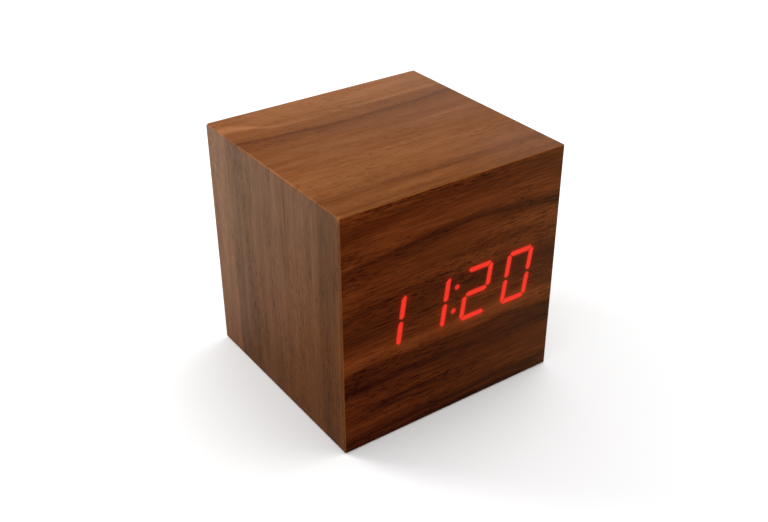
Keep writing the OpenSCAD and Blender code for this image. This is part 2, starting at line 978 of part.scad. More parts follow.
// A contact plate over the batteries first to last, on the side given
module contact_plate(side, first, last, tag) {
    low = cell_z(first) - plate_w / 2;
    high = cell_z(last) + plate_w / 2;
    translate([side * plate_x - contact_t / 2, bay_in_y, low])
        cube([contact_t, plate_h, high - low]);
    if (tag)
        translate([side * plate_x - contact_t / 2, bay_out_y - tag_l, cell_z(first) - tag_w / 2])
            cube([contact_t, tag_l + bay_wall + cut, tag_w]);
}

module contact_plates() {
    color("#c2c0b8") {
        contact_plate(-1, 0, 0, true);
        contact_plate(1, 0, 1, false);
        contact_plate(-1, 1, 2, false);
        contact_plate(1, 2, 2, true);
    }
}

// Spring wire: one tube through points, six sides, eight rings a turn. A turn
// narrows from the base to the tip at a steady rate, and both ends run straight
// along the spring for one wire diameter.
rings_a_turn = 8;
spring_sides = 6;
spring_steps = spring_turns * rings_a_turn;
function spring_at(k) =
    let (s = k / spring_steps, a = 360 * k / rings_a_turn,
        r = (spring_base_d + s * (spring_tip_d - spring_base_d)) / 2)
    [r * cos(a), r * sin(a), spring_wire + s * (spring_l - 2 * spring_wire)];
spring_path = concat(
    [[spring_base_d / 2, 0, 0]],
    [for (k = [0:spring_steps]) spring_at(k)],
    [[spring_tip_d / 2, 0, spring_l]]
);
// The least gap between two turns, between points half a turn or more apart
spring_gaps = [
    for (i = [1:spring_steps + 1], j = [1:spring_steps + 1])
        if (j - i >= rings_a_turn / 2) norm(spring_path[i] - spring_path[j]) - spring_wire
];
echo(spring_least_gap = min(spring_gaps));

// The direction away from the spring's axis, square to the wire
function outward(p, t) =
    let (flat = [p[0], p[1], 0])
    unit(flat - (flat * t) * t);

module spring() {
    along = tangents(spring_path);
    away = [for (i = [0:len(along) - 1]) outward(spring_path[i], along[i])];
    round = [for (i = [0:len(along) - 1]) cross(along[i], away[i])];
    tube(spring_path, away, round, ring(spring_wire, spring_sides));
}

module contact_springs() {
    color("#d0cec6")
        for (i = [0:cells - 1])
            mirror([cell_side(i) < 0 ? 1 : 0, 0, 0])
                translate([-spring_x, cell_y, cell_z(i)])
                    rotate([0, 90, 0])
                        spring();
}

// A wire from a contact's tag to the main board
module battery_wire(x, z, climb) {
    start_y = bay_out_y - tag_l;
    facing_front(x, start_y, z)
        s_run(start_y - main_back_y, climb, ring(wire_d, 8));
}

module red_wire() {
    color("#b3231c")
        battery_wire(plate_x, cell_z(cells - 1), -wire_climb);
}

module black_wire() {
    color("#202022")
        battery_wire(-plate_x, cell_z(0), wire_climb);
}

// Battery door, with a full-round lower edge about its hinge line and three
// grooves for the finger near its tongue
module battery_door() {
    grip_l = tongue_w - 3;
    grip_w = 0.7;
    grip_depth = 0.3;
    grip_pitch = 1.6;
    color("#202022")
        difference() {
            union() {
                slab(door_in_y, door_t) {
                    translate([-door_w / 2, hinge_z])
                        square([door_w, door_z + door_h - hinge_z]);
                    translate([-tongue_w / 2, hinge_z])
                        square([tongue_w, door_z + door_h + tongue_h - hinge_z]);
                }
                translate([-door_w / 2, hinge_y, hinge_z])
                    rotate([0, 90, 0])
                        cylinder(d = door_t, h = door_w);
                translate([-door_w / 2 - stub_l, hinge_y, hinge_z])
                    rotate([0, 90, 0])
                        cylinder(d = stub_d, h = door_w + 2 * stub_l);
            }
            for (i = [0:2])
                translate([-grip_l / 2, cover_y - grip_depth, door_z + door_h + (i - 2) * grip_pitch])
                    cube([grip_l, cut + grip_depth, grip_w]);
        }
}

// Keys and socket

module key_board() {
    color("#1f6b3a")
        slab(key_board_y, pcb_t)
            difference() {
                translate([0, key_z])
                    square([key_board_w, key_board_h], center = true);
                for (x = post_x)
                    translate([x, key_z])
                        circle(d = screw_d + 4 * screw_fit);
            }
}

module key_board_screws() {
    color("#a8a8a4")
        for (x = post_x)
            facing_front(x, key_board_y, key_z)
                screw(screw_d, screw_d * 1.9, screw_d * 0.65, pcb_t + post_bite - 0.2);
}

module key_switches() {
    color("#2a2a2c")
        for (x = key_x)
            difference() {
                slab(key_board_back_y, switch_t)
                    translate([x, key_z])
                        rounded_rect(switch_w, switch_w, 0.4);
                facing_back(x, key_board_back_y + switch_t - plunger_in - key_travel - 0.1, key_z)
                    cylinder(d = plunger_d + 2 * key_fit, h = plunger_in + key_travel + 0.1 + cut);
            }
}

// A key: a round stem through the cover, with a collar that stops it from inside
module key(x) {
    top = collar_t + cover_t + key_proud;
    r = key_d / 2;
    color("#3a3a3d")
        facing_back(x, key_in_y, key_z)
            rotate_extrude()
                polygon([
                    [0, 0], [collar_d / 2, 0], [collar_d / 2, collar_t], [r, collar_t],
                    [r, top - 0.3], [r - 0.3, top], [0, top]
                ]);
}

module plunger(x) {
    color("#c9c7c0")
        facing_front(x, key_in_y, key_z)
            cylinder(d = plunger_d, h = plunger_l + plunger_in);
}

module set_key() {
    key(key_x[0]);
}

module set_plunger() {
    plunger(key_x[0]);
}

module up_key() {
    key(key_x[1]);
}

module up_plunger() {
    plunger(key_x[1]);
}

module down_key() {
    key(key_x[2]);
}

module down_plunger() {
    plunger(key_x[2]);
}

module power_socket() {
    color("#18181a")
        difference() {
            union() {
                slab(key_board_back_y, cover_in_y - key_board_back_y)
                    translate([socket_x, key_z])
                        rounded_rect(socket_w, socket_w, 0.4);
                facing_back(socket_x, cover_in_y - cut, key_z)
                    cylinder(d = nose_d, h = cover_t + cut);
            }
            facing_back(socket_x, key_board_back_y + socket_floor, key_z)
                cylinder(d = socket_d, h = cover_y - key_board_back_y);
            facing_back(socket_x, key_board_back_y - cut, key_z)
                cylinder(d = pin_d + 0.7, h = socket_floor + 2 * cut);
        }
}

// The centre pin stands on the key board, with a foot in the socket's floor
module socket_pin() {
    r = pin_d / 2;
    color("#cfcdc6")
        facing_back(socket_x, key_board_back_y, key_z)
            rotate_extrude()
                polygon([
                    [0, 0], [r + 0.3, 0], [r + 0.3, socket_floor], [r, socket_floor],
                    [r, socket_floor + pin_l], [r - 0.35, socket_floor + pin_l + 0.35],
                    [0, socket_floor + pin_l + 0.35]
                ]);
}

// A flat cable from the key board to the main board, round at both edges
module ribbon_cable() {
    r = ribbon_pitch / 2;
    half = ribbon_cores * ribbon_pitch / 2 - r;
    outline = concat(
        [for (a = [-90:45:90]) [half, 0] + r * [cos(a), sin(a)]],
        [for (a = [90:45:270]) [-half, 0] + r * [cos(a), sin(a)]]
    );
    color("#9a9a9e")
        facing_front(ribbon_x, key_board_y, key_z)
            s_run(key_board_y - main_back_y, ribbon_land_z - key_z, outline);
}

front_film();
wrap_film();
bottom_film();
lit_segments();
front_panel();
top_panel();
bottom_panel();
left_panel();
right_panel();
corner_blocks();
light_diffuser();
segment_reflector();
led_chips();
main_board();
board_spacers();
board_screws();
control_chip();
chip_legs();
driver_transistors();
resistors();
ceramic_capacitors();
supply_capacitor();
clock_crystal();
buzzer();
rear_cover();
rear_screws();
batteries();
contact_plates();
contact_springs();
red_wire();
black_wire();
key_board();
key_board_screws();
key_switches();
ribbon_cable();
power_socket();
socket_pin();
battery_door();
set_key();
set_plunger();
up_key();
up_plunger();
down_key();
down_plunger();
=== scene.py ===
"""Looks of a cube-shaped wooden digital alarm clock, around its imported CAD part.

Lengths in shapes and patterns are millimetres and become metres where a mesh or a
texture point is made. The frame is the part's own: the origin is the middle of the
underside, the front faces -Y, +X is to the right seen from the front, Z is up.
"""

import math

import bpy
import numpy as np
from mathutils import Matrix, Vector


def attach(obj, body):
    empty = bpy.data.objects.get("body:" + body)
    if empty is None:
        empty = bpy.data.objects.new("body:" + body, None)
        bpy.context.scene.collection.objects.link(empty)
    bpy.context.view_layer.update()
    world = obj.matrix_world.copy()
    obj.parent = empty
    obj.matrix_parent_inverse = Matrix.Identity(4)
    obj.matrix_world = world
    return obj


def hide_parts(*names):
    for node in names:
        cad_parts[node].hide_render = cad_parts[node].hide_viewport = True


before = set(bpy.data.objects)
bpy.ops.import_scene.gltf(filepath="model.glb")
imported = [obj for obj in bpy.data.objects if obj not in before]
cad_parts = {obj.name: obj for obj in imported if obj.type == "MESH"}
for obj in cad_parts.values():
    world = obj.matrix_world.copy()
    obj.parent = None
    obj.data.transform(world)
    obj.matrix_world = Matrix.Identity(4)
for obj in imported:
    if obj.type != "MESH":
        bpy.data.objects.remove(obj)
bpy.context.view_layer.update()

bl_info = {
    "name": "Wooden cube alarm clock",
    "version": (1, 0, 0),
    "blender": (4, 5, 0),
    "location": "3D View > Sidebar > Clock",
    "description": "Finishes and small pieces of a wooden cube alarm clock",
    "category": "Object",
}

MM = 0.001
WIDTH, DEPTH, HEIGHT = 63.0, 59.0, 63.0
LEFT, FRONT = -WIDTH / 2, -DEPTH / 2

# Display, as in the part's source
DISPLAY_Z = 31.75
DIGIT_PITCH = 12.63
DIGIT_W, DIGIT_H = 6.8, 12.8
SEGMENT_W = 1.5
DOT_SPACING = 6.34
LEAN = math.tan(math.radians(8))
LIT = ("bc", "bc", "abged", "abcdef")

# Battery bay, as in the part's source
CELL_L = 44.5
CELL_Y = 21.35
CELL_Z = (20.8, 31.5, 42.2)
SPRING_X, PLATE_X = 24.35, 24.55
SPRING_L = 4.2
SPRING_WIDE, SPRING_NARROW = 3.2, 2.0

# Wires and ribbon, as in the part's source: radii, where they start and how far they climb
BOARD_BACK_Y = -20.1
SPRING_WIRE_R, WIRE_R = 0.25, 0.6
WIRE_START_Y, WIRE_CLIMB = 11.7, 6.0
RIBBON_CORES, RIBBON_PITCH = 6, 1.27
RIBBON_X, RIBBON_START_Y, RIBBON_START_Z = -3.0, 18.5, 9.7
RIBBON_LAND_Z = 14.75

# How far the digits' glow reaches into the film, and the places of the wood's tones on its ramps
GLOW_REACH = 0.62
WOOD_STOPS = (0.12, 0.5, 0.9)

# Camera: its sensor in mm, the case's middle to the right of and above its axis in case
# widths, and the shift that frames it
SENSOR = 36.0
AIM_ACROSS, AIM_RAISED = -0.02905, 0.10792
SHIFT_X, SHIFT_Y = -0.00781, 0.01823
FLOOR_HALF_M = 6.0


# ---- Shader maths


class Wire:
    """A socket in a node tree. Arithmetic on it adds Math nodes."""

    def __init__(self, tree, socket=None):
        self.tree, self.socket = tree, socket

    def add(self, kind, settings=None, inputs=None, output=0):
        """Adds a node of a type, gives it its settings, then its inputs' values or links."""
        node = self.tree.nodes.new(kind)
        for name, value in (settings or {}).items():
            if name == "stops":
                set_stops(node.color_ramp, value)
            else:
                setattr(node, name, value)
        for name, value in (inputs or {}).items():
            if isinstance(value, Wire):
                self.tree.links.new(value.socket, node.inputs[name])
            else:
                node.inputs[name].default_value = value
        return Wire(self.tree, node.outputs[output])

    def math(self, operation, *values, clamp=False):
        settings = {"operation": operation, "use_clamp": clamp}
        return self.add("ShaderNodeMath", settings, dict(enumerate(values)))

    def vector(self, operation, *values, output=0):
        settings = {"operation": operation}
        return self.add("ShaderNodeVectorMath", settings, dict(enumerate(values)), output)

    def times(self, vector):
        """A vector or colour times this value."""
        inputs = {0: vector, "Scale": self}
        return self.add("ShaderNodeVectorMath", {"operation": "SCALE"}, inputs)

    def __add__(self, other):
        return self.math("ADD", self, other)

    __radd__ = __add__

    def __sub__(self, other):
        return self.math("SUBTRACT", self, other)

    def __rsub__(self, other):
        return self.math("SUBTRACT", other, self)

    def __mul__(self, other):
        return self.math("MULTIPLY", self, other)

    __rmul__ = __mul__

    def __truediv__(self, other):
        return self.math("DIVIDE", self, other)

    def __neg__(self):
        return self.math("MULTIPLY", self, -1.0)

    def __abs__(self):
        return self.math("ABSOLUTE", self)

    def least(self, other):
        return self.math("MINIMUM", self, other)

    def most(self, other):
        return self.math("MAXIMUM", self, other)

    def clamped(self):
        return self.math("MULTIPLY", self, 1.0, clamp=True)

    def above(self, low, high):
        """0 below low, 1 above high and a smooth rise between them; falls where low > high."""
        inputs = {"Value": self, "From Min": low, "From Max": high}
        return self.add("ShaderNodeMapRange", {"interpolation_type": "SMOOTHSTEP"}, inputs)

    def ring(self, start, rise, fall):
        """0 before start, 1 after a quick rise, and back to 0 over a slow fall: a growth ring."""
        return self.above(start - rise, start) * self.above(start + fall, start)

    def bell(self, centre, width):
        """1 where the value is centre, falling to both sides as e to the minus square of the
        distance in widths."""
        off = (self - centre) / width
        return self.math("EXPONENT", -(off * off))


def set_stops(ramp, stops):
    while len(ramp.elements) < len(stops):
        ramp.elements.new(1.0)
    for element, (place, colour) in zip(ramp.elements, stops):
        element.position = place
        element.color = (*colour, 1.0)


def mixed(factor, a, b):
    """Colour a turning to colour b as factor goes from 0 to 1."""
    a, b = (c if isinstance(c, Wire) else (*c, 1.0) for c in (a, b))
    settings = {"data_type": "RGBA", "clamp_factor": True}
    return factor.add("ShaderNodeMix", settings, {0: factor, 6: a, 7: b}, 2)


def ramp(value, places, colours):
    """The colour at a value, between colours that are given at places from 0 to 1."""
    stops = list(zip(places, colours))
    return value.add("ShaderNodeValToRGB", {"stops": stops}, {"Fac": value})


def point_of(tree):
    """The surface point in millimetres."""
    start = Wire(tree)
    here = start.add("ShaderNodeTexCoord", output="Object")
    return here.vector("MULTIPLY", here, (1 / MM,) * 3)


def xyz(point):
    split = point.add("ShaderNodeSeparateXYZ", inputs={"Vector": point})
    return [Wire(point.tree, split.socket.node.outputs[i]) for i in range(3)]


def joined(tree, x, y, z):
    return Wire(tree).add("ShaderNodeCombineXYZ", inputs={0: x, 1: y, 2: z})


def noise(point, rates, detail=2.0, rough=0.5, shift=0.0):
    """Noise between about -0.5 and 0.5, with rates cycles a millimetre along each axis, or one
    rate for all three. Each finer layer of detail has rough times the strength of the one before
    it, and shift moves the pattern."""
    rates = np.broadcast_to(rates, 3).tolist()
    scaled = point.vector("MULTIPLY_ADD", point, rates, (shift, shift * 1.7, shift * 2.3))
    inputs = {"Vector": scaled, "Scale": 1.0, "Detail": detail, "Roughness": rough}
    return point.add("ShaderNodeTexNoise", inputs=inputs) - 0.5


def bumped(height, depth_mm, strength=1.0):
    """A normal from a height between 0 and 1, depth_mm deep."""
    inputs = {"Height": height, "Distance": depth_mm * MM, "Strength": strength}
    return height.add("ShaderNodeBump", inputs=inputs)


def finish(name, paint, *nodes, **fixed):
    """A material, put on the CAD nodes that are named. paint takes the surface point in mm and
    gives the sockets that vary; fixed are plain values."""
    made = bpy.data.materials.new(name)
    made.use_nodes = True
    tree = made.node_tree
    shader = tree.nodes["Principled BSDF"]
    for socket, value in fixed.items():
        shader.inputs[socket.replace("_", " ")].default_value = value
    for socket, value in paint(point_of(tree)).items():
        tree.links.new(value.socket, shader.inputs[socket])
    for node in nodes:
        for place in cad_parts[node].material_slots:
            place.material = made
    return made


# ---- Objects and meshes


def linked(name, data):
    """A new object in the scene."""
    thing = bpy.data.objects.new(name, data)
    bpy.context.scene.collection.objects.link(thing)
    return thing


def mesh_object(name, points_mm, faces, made, body, slot, sharp_deg=40.0):
    """A smooth-shaded object from points in mm, riding on a body and finished with made; slot is
    not used.
    """
    mesh = bpy.data.meshes.new(name)
    mesh.from_pydata((np.asarray(points_mm) * MM).tolist(), [], faces)
    mesh.validate()
    mesh.shade_smooth()
    mesh.set_sharp_from_angle(angle=math.radians(sharp_deg))
    mesh.materials.append(made)
    thing = linked(name, mesh)
    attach(thing, body)
    return thing


def grid_faces(rows, columns):
    """Quads of a grid of rows by columns points whose columns close into a ring, with both ends
    capped."""
    row, column = np.meshgrid(np.arange(rows - 1), np.arange(columns), indexing="ij")
    beside = (column + 1) % columns
    a, b = row * columns + column, row * columns + beside
    quads = np.stack([a, b, b + columns, a + columns], -1).reshape(-1, 4)
    last = (rows - 1) * columns
    return quads.tolist() + [list(range(columns))[::-1], list(range(last, last + columns))]


def sweep(path, across, outline):
    """A tube: point (i, k) is path[i] + outline x times across[i] + outline y times the path's
    direction crossed with across[i]. Directions are the path's central differences."""
    path = np.asarray(path, float)
    along = np.gradient(path, axis=0)
    along /= np.linalg.norm(along, axis=1)[:, None]
    across = np.broadcast_to(across, path.shape).astype(float)
    across = across - (across * along).sum(1)[:, None] * along
    across /= np.linalg.norm(across, axis=1)[:, None]
    up = np.cross(along, across)
    x, y = outline[:, 0], outline[:, 1]
    points = path[:, None] + x[:, None] * across[:, None] + y[:, None] * up[:, None]
    return points.reshape(-1, 3), grid_faces(len(path), len(outline))


def lathe(profile, centre, sides=24):
    """A turned shape about a line along +Y through centre: a profile point (r, h) becomes
    the circle of radius r at height h along Y."""
    turn = np.arange(sides) * 2 * np.pi / sides
    r, h = np.asarray(profile, float).T
    x = r[:, None] * np.cos(turn)
    y = np.broadcast_to(h[:, None], x.shape)
    z = -r[:, None] * np.sin(turn)
    points = np.stack([x, y, z], -1) + np.asarray(centre)
    return points.reshape(-1, 3), grid_faces(len(r), sides)


def together(parts):
    """Several (points, faces) as one."""
    points, faces, first = [], [], 0
    for some, their in parts:
        points.append(some)
        faces += [[i + first for i in f] for f in their]
        first += len(some)
    return np.concatenate(points), faces


def circle(radius, sides):
    """Points round a circle: the radius times the cosine and the sine of even turns."""
    turn = np.arange(sides) * 2 * np.pi / sides
    return radius * np.stack([np.cos(turn), np.sin(turn)], 1)


# ---- Wood film


def leaned(x, z):
    """A point of an upright digit, moved by the digits' lean."""
    return x + z * LEAN, z


def segment_ends():
    """Both ends of the line along which each segment shines, before the digit leans, by its
    usual letter. The ends stop short of the corners, of half height and, on the middle bar, of
    both sides."""
    w, h = DIGIT_W / 2, DIGIT_H / 2
    corner, middle, bar = 0.62, 0.95, 0.72
    return {
        "a": ((corner - w, h), (w - corner, h)),
        "b": ((w, middle), (w, h - corner)),
        "c": ((w, corner - h), (w, -middle)),
        "d": ((corner - w, -h), (w - corner, -h)),
        "e": ((-w, corner - h), (-w, -middle)),
        "f": ((-w, middle), (-w, h - corner)),
        "g": ((bar - w, 0), (w - bar, 0)),
    }


def lit_lines():
    """The middle lines of the lit segments as (start, end), in mm across and up the front."""
    ends = segment_ends()
    lines = []
    for i, letters in enumerate(LIT):
        x = (i - (len(LIT) - 1) / 2) * DIGIT_PITCH
        for letter in letters:
            (ax, az), (bx, bz) = (leaned(*p) for p in ends[letter])
            lines.append(((ax + x, az + DISPLAY_Z), (bx + x, bz + DISPLAY_Z)))
    return lines


def light_distance(point):
    """Distance from the nearest lit line or dot, in mm, less half the segment's width."""
    flat = point.vector("MULTIPLY", point, (1, 0, 1))
    nearest = None
    for (ax, az), (bx, bz) in lit_lines():
        run = Vector((bx - ax, 0, bz - az))
        off = flat.vector("SUBTRACT", flat, (ax, 0, az))
        share = off.vector("DOT_PRODUCT", off, run / run.length_squared, output="Value").clamped()
        away = off.vector("SUBTRACT", off, share.times(run))
        gap = away.vector("LENGTH", away, output="Value")
        nearest = gap if nearest is None else nearest.least(gap)
    for side in (-1, 1):
        x, z = leaned(0, side * DOT_SPACING / 2)
        away = flat.vector("SUBTRACT", flat, (x, 0, z + DISPLAY_Z))
        nearest = nearest.least(away.vector("LENGTH", away, output="Value"))
    return nearest - SEGMENT_W / 2


def fibres(tree, along, bowed, straight, shift=0.0):
    """Streaks along the grain, from places in mm along it and across it. The broad streaks follow
    the bowed grain lines, and the film's fine fibres and pressed pores run straight over them.
    Gives (broad streaks, fine fibres, pores from 0 to 1)."""
    grain, film = joined(tree, along, 0.0, bowed), joined(tree, along, 0.0, straight)
    broad = noise(grain, (0.020, 0.0, 0.36), 4.0, 0.60, shift)
    fine = noise(film, (0.085, 0.0, 1.90), 3.0, 0.85, shift + 5)
    cells = noise(film, (0.40, 0.0, 3.2), 2.0, 0.7, shift + 9)
    patch = noise(grain, (0.045, 0.0, 0.20), 2.0, 0.5, shift + 13)
    pores = cells.above(0.03, 0.12) * patch.above(-0.14, 0.08)
    return broad, fine, pores


def front_flow(t, v):
    """Distance from the top edge along grain lines that bow up in the middle: the bow is whole
    down to 8 mm, where the lines rise 4 mm, and has nearly died out 52 mm down."""
    bow = t * 13.5 - t * t * 11.5
    return v + bow * (1 - v.above(8.0, 52.0) * 0.92)


def front_tone(t, v, broad, fine):
    """How light the front's wood is, about 0 to 1. t runs from 0 at the left edge to 1 at the
    right and v is in mm down the bowed grain lines. Each term is a band across the front: its
    place and width in mm, and how much it lightens or darkens the wood."""
    v = v + broad * 1.8
    right, left = t.above(0.38, 0.85), t.above(0.70, 0.20)
    tone = 0.51 + broad * 0.43 + fine * 0.88
    # Light under the top edge, then a dark line and a broad light band
    tone = tone + v.above(5.4, 3.6) * (0.07 + left * 0.05)
    tone = tone - v.bell(6.6, 1.3) * (0.07 + right * 0.03)
    tone = tone + v.bell(11.4, 2.2) * (0.16 - right * 0.04)
    # A growth ring above the digits, with light wood below it at the right
    tone = tone - v.ring(14.6, 0.7, 4.8) * 0.07 - v.bell(15.1, 0.6) * 0.13
    tone = tone - v.bell(17.0, 1.2) * left * 0.05 + v.bell(18.6, 0.9) * left * 0.05
    tone = tone + v.bell(17.4 + t * 2.0, 2.5) * right * 0.26
    tone = tone - v.bell(22.6, 0.7) * t.bell(0.62, 0.24) * 0.05
    tone = tone + v.bell(25.2, 2.0) * t.above(0.2, 0.6) * 0.17
    # Dark wood behind the digits
    tone = tone - v.bell(30.5, 5.0) * (0.09 + right * 0.07)
    tone = tone - v.bell(26.2, 0.6) * left * 0.10
    tone = tone + v.bell(33.6, 2.2) * (t.bell(0.70, 0.18) * 0.11 - t.above(0.28, 0.08) * 0.09)
    # A light band under the digits, which slants down to the right, and its growth ring
    under = 0.19 + right * 0.07 - t.bell(0.5, 0.13) * 0.08
    tone = tone + v.bell(38.6 + t * 2.2, 2.0) * under
    tone = tone - v.ring(41.6 + t * 2.0, 1.0, 9.0) * 0.20
    # Dark lines lower down
    tone = tone - v.bell(45.8, 0.7) * left * 0.18
    tone = tone - v.bell(48.2, 2.4) * t.above(0.25, 0.55) * 0.15
    tone = tone - v.bell(52.0, 0.7) * t.bell(0.26, 0.16) * 0.20
    # Dark wood near the bottom edge, with one lighter band in it
    tone = tone - v.above(50.0, 54.0) * (0.15 - right * 0.06)
    tone = tone + v.bell(56.4, 1.7) * (0.06 + left * 0.10 + right * 0.08)
    foot = v.above(61.0, 62.6) * (0.16 + t.bell(0.62, 0.28) * 0.12)
    return tone - v.bell(60.0, 1.0) * 0.13 - foot


def front_grain(point):
    """Colour, tone and pores of the front film."""
    x, _, z = xyz(point)
    t = (x - LEFT) / WIDTH
    sway = noise(point, (0.05, 0.0, 0.07), 2.0, 0.5, 3.0) * 3.6
    v = front_flow(t, HEIGHT - z + sway)
    broad, fine, pores = fibres(point.tree, x, v, z, 2.0)
    tone = front_tone(t, v, broad, fine) - pores * 0.28
    look = bpy.context.scene.clock_wood
    # The front's tones carry painted shade: they are darker than the wrap's
    colour = ramp(tone, WOOD_STOPS, look.front_tones())
    colour = mixed(t * t * 0.12, colour, look.front_grey[:])
    return colour, tone, pores


def rim(point, reach):
    """1 on the case's long edges, fading within reach mm of them: the second least
    of the distances from a side, the front or back and the top or bottom is near 0 there."""
    x, y, z = xyz(point)
    side = WIDTH / 2 - abs(x)
    deep = DEPTH / 2 - abs(y)
    high = HEIGHT / 2 - abs(z - HEIGHT / 2)
    second = side.most(deep).least(side.most(high)).least(deep.most(high))
    return second.above(reach, 0.10)


def front_paint(point):
    """The front film, rubbed at its edges and lit there by a painted highlight, and the digits'
    light in it, which falls as e to the minus distance over GLOW_REACH."""
    colour, tone, pores = front_grain(point)
    # The edges are rubbed and carry a painted highlight where they round over
    wear_and_highlight = rim(point, 0.42) * (noise(point, 0.5, 2.0) + 0.75)
    look = bpy.context.scene.clock_wood
    colour = mixed(wear_and_highlight * 0.7, colour, look.edge[:])
    halo = light_distance(point) / -GLOW_REACH
    glow = halo.math("EXPONENT", halo).least(1.0) * (0.8 + tone * 0.5)
    light = mixed(glow, (0, 0, 0), bpy.context.scene.clock_display.glow[:])
    return {
        "Base Color": colour,
        "Emission Color": light,
        "Roughness": 0.52 - tone * 0.10 + pores * 0.2,
        "Normal": bumped(tone * 0.4 - pores, 0.05, 0.7),
    }


def wrap_fold(point):
    """The wrap film laid flat: (along, across, side), where along runs left to right over the top
    and on down each side, across is the distance from the back edge and side is 1 on the sides."""
    x, y, z = xyz(point)
    side = (abs(x) - (z - HEIGHT / 2)).above(-0.02, 0.02)
    down = (HEIGHT - z + WIDTH / 2) * x.math("SIGN", x)
    along = x * (1 - side) + down * side
    return along, DEPTH / 2 - y, side


def wrap_tone(u, v, side, broad, fine):
    """How light the wrap film's wood is, at u mm along the fold from the middle of the top and v mm
    from the back edge. Each term is a streak: its place and width in mm, and how much it
    lightens or darkens the wood."""
    t = (u - LEFT) / WIDTH
    w = v + broad * 1.8
    top = 1 - side
    swing = t.above(0.03, 0.24)
    right = t.above(0.35, 0.9)
    tone = 0.50 + broad * 0.32 + fine * 0.66
    # On the top, a light streak that swings away from the back edge
    light = 0.40 - swing * 0.22
    tone = tone + w.bell(6.4 + swing * 5.2, 1.4 - swing * 0.7) * light * top
    tone = tone - w.bell(9.6, 0.5) * t.bell(0.45, 0.3) * 0.08 * top
    # A broken dark streak that sags towards the front, with shade in front of it
    sag = 15.1 + 9.6 * t - 8.2 * t * t
    streak = (0.6 + broad * 2.2 + fine * 0.8).clamped()
    tone = tone - w.bell(sag, 0.85) * streak * 0.42 * top - w.ring(sag, 0.8, 11.0) * 0.12 * top
    tone = tone - w.bell(14.6, 2.2) * right * 0.14 * top
    # Lighter over the back of the top, fading by 15 mm: painted light, as the top is brighter
    # towards the back
    tone = tone + w.above(15.0, 3.0) * (0.12 + swing * 0.12) * top
    # Light wood in front of the middle and dark lines near the front edge
    tone = tone + w.bell(40.5, 6.5) * (0.13 - right * 0.10) * top
    tone = tone - w.bell(51.0, 1.5) * 0.16 * top - w.above(48.0, 53.0) * 0.05 * top
    tone = tone + w.bell(54.6, 1.2) * 0.05 * top - w.bell(57.4, 1.0) * 0.12 * top
    # The sides: light at the back, then darker, and dark again near the front
    tone = tone + w.above(9.7, 9.1) * 0.15 * side
    tone = tone - w.bell(13.0, 3.6) * 0.07 * side
    tone = tone + w.bell(40.0, 6.0) * 0.06 * side
    return tone - w.bell(53.2, 3.0) * 0.10 * side + w.bell(58.0, 1.2) * 0.08 * side


def top_sheen_amount(u, v, broad):
    """How much a painted sheen greys the top, 0 to 1: most at the back right, and again at the
    front right.
    """
    sheen = v.above(60.0, 16.0) * (0.55 + u / WIDTH * 0.9) + broad * 0.6
    sheen = sheen + v.above(38.0, 52.0) * (u / WIDTH).above(-0.05, 0.45) * 0.75
    return (sheen * 0.20).clamped()


def side_colour(v, z, tone, broad):
    """The sides' colour: lighter and greyer high at the back with a painted sheen, darker low at
    the front with painted shade, and lighter at half height.
    """
    look = bpy.context.scene.clock_wood
    # Painted sheen high at the back and painted shade low at the front, mixed by height and depth
    painted_sheen = (z / HEIGHT - v / DEPTH * 0.85 + 0.33 + broad * 0.5) / 1.2
    middle = z.bell(31.5, 14.0) * v.above(14.0, 24.0) * 0.18
    colour = mixed(painted_sheen.clamped().least(0.9), look.side_painted_shade[:], look.side_painted_sheen[:])
    return (tone * 1.8 + 0.12 + middle).times(colour)


def wrap_wear_and_highlight(point, v, z):
    """How rubbed the wrap film's edges are, with a painted highlight on them: most along the top
    edges about half way back, and a painted highlight at the top corner nearest the camera."""
    spots = noise(point, 0.35, 3.0) * 2.0 + 0.75
    high = 0.30 + z.above(59.0, 62.0) * (0.08 + v.bell(33.0, 15.0) * 0.65)
    # A painted highlight on the top corner nearest the camera
    corner = point.vector("DISTANCE", point, (LEFT, FRONT, HEIGHT), output="Value").bell(0.0, 1.2)
    return rim(point, 0.60) * spots * high + corner * 0.7


def wrap_paint(point):
    """The film over the top and both sides."""
    u, v, side = wrap_fold(point)
    _, _, z = xyz(point)
    flat = joined(point.tree, u, 0.0, v)
    sway = noise(flat, (0.025, 0.0, 0.05), 2.0, 0.5, 7.0) * 3.4
    broad, fine, pores = fibres(point.tree, u, v + sway, v, 11.0)
    mottle = noise(flat, (0.16, 0.0, 0.30), 3.0, 0.6, 17.0)
    tone = wrap_tone(u, v + sway, side, broad, fine) + mottle * 0.24 - pores * 0.20
    look = bpy.context.scene.clock_wood
    colour = ramp(tone, WOOD_STOPS, look.wrap_tones())
    # A painted sheen greys the top at its back and right
    colour = mixed(top_sheen_amount(u, v, broad), colour, look.sheen_grey[:])
    colour = mixed(side, colour, side_colour(v, z, tone, broad))
    # Rubbed edges with their painted highlight
    colour = mixed(wrap_wear_and_highlight(point, v, z) * 0.75, colour, look.edge[:])
    return {
        "Base Color": colour,
        "Roughness": 0.46 + pores * 0.2 - tone * 0.06,
        "Normal": bumped(tone * 0.35 - pores, 0.05, 0.6),
    }


def underside_paint(point):
    """The sheet under the case: plain brown wood with its grain from left to right."""
    x, y, _ = xyz(point)
    broad, fine, pores = fibres(point.tree, x, y, y, 23.0)
    tone = 0.44 + broad * 0.5 + fine * 0.6 - pores * 0.2
    return {
        "Base Color": ramp(tone, WOOD_STOPS, bpy.context.scene.clock_wood.wrap_tones()),
        "Roughness": 0.50 + pores * 0.2,
        "Normal": bumped(tone * 0.35 - pores, 0.05, 0.6),
    }


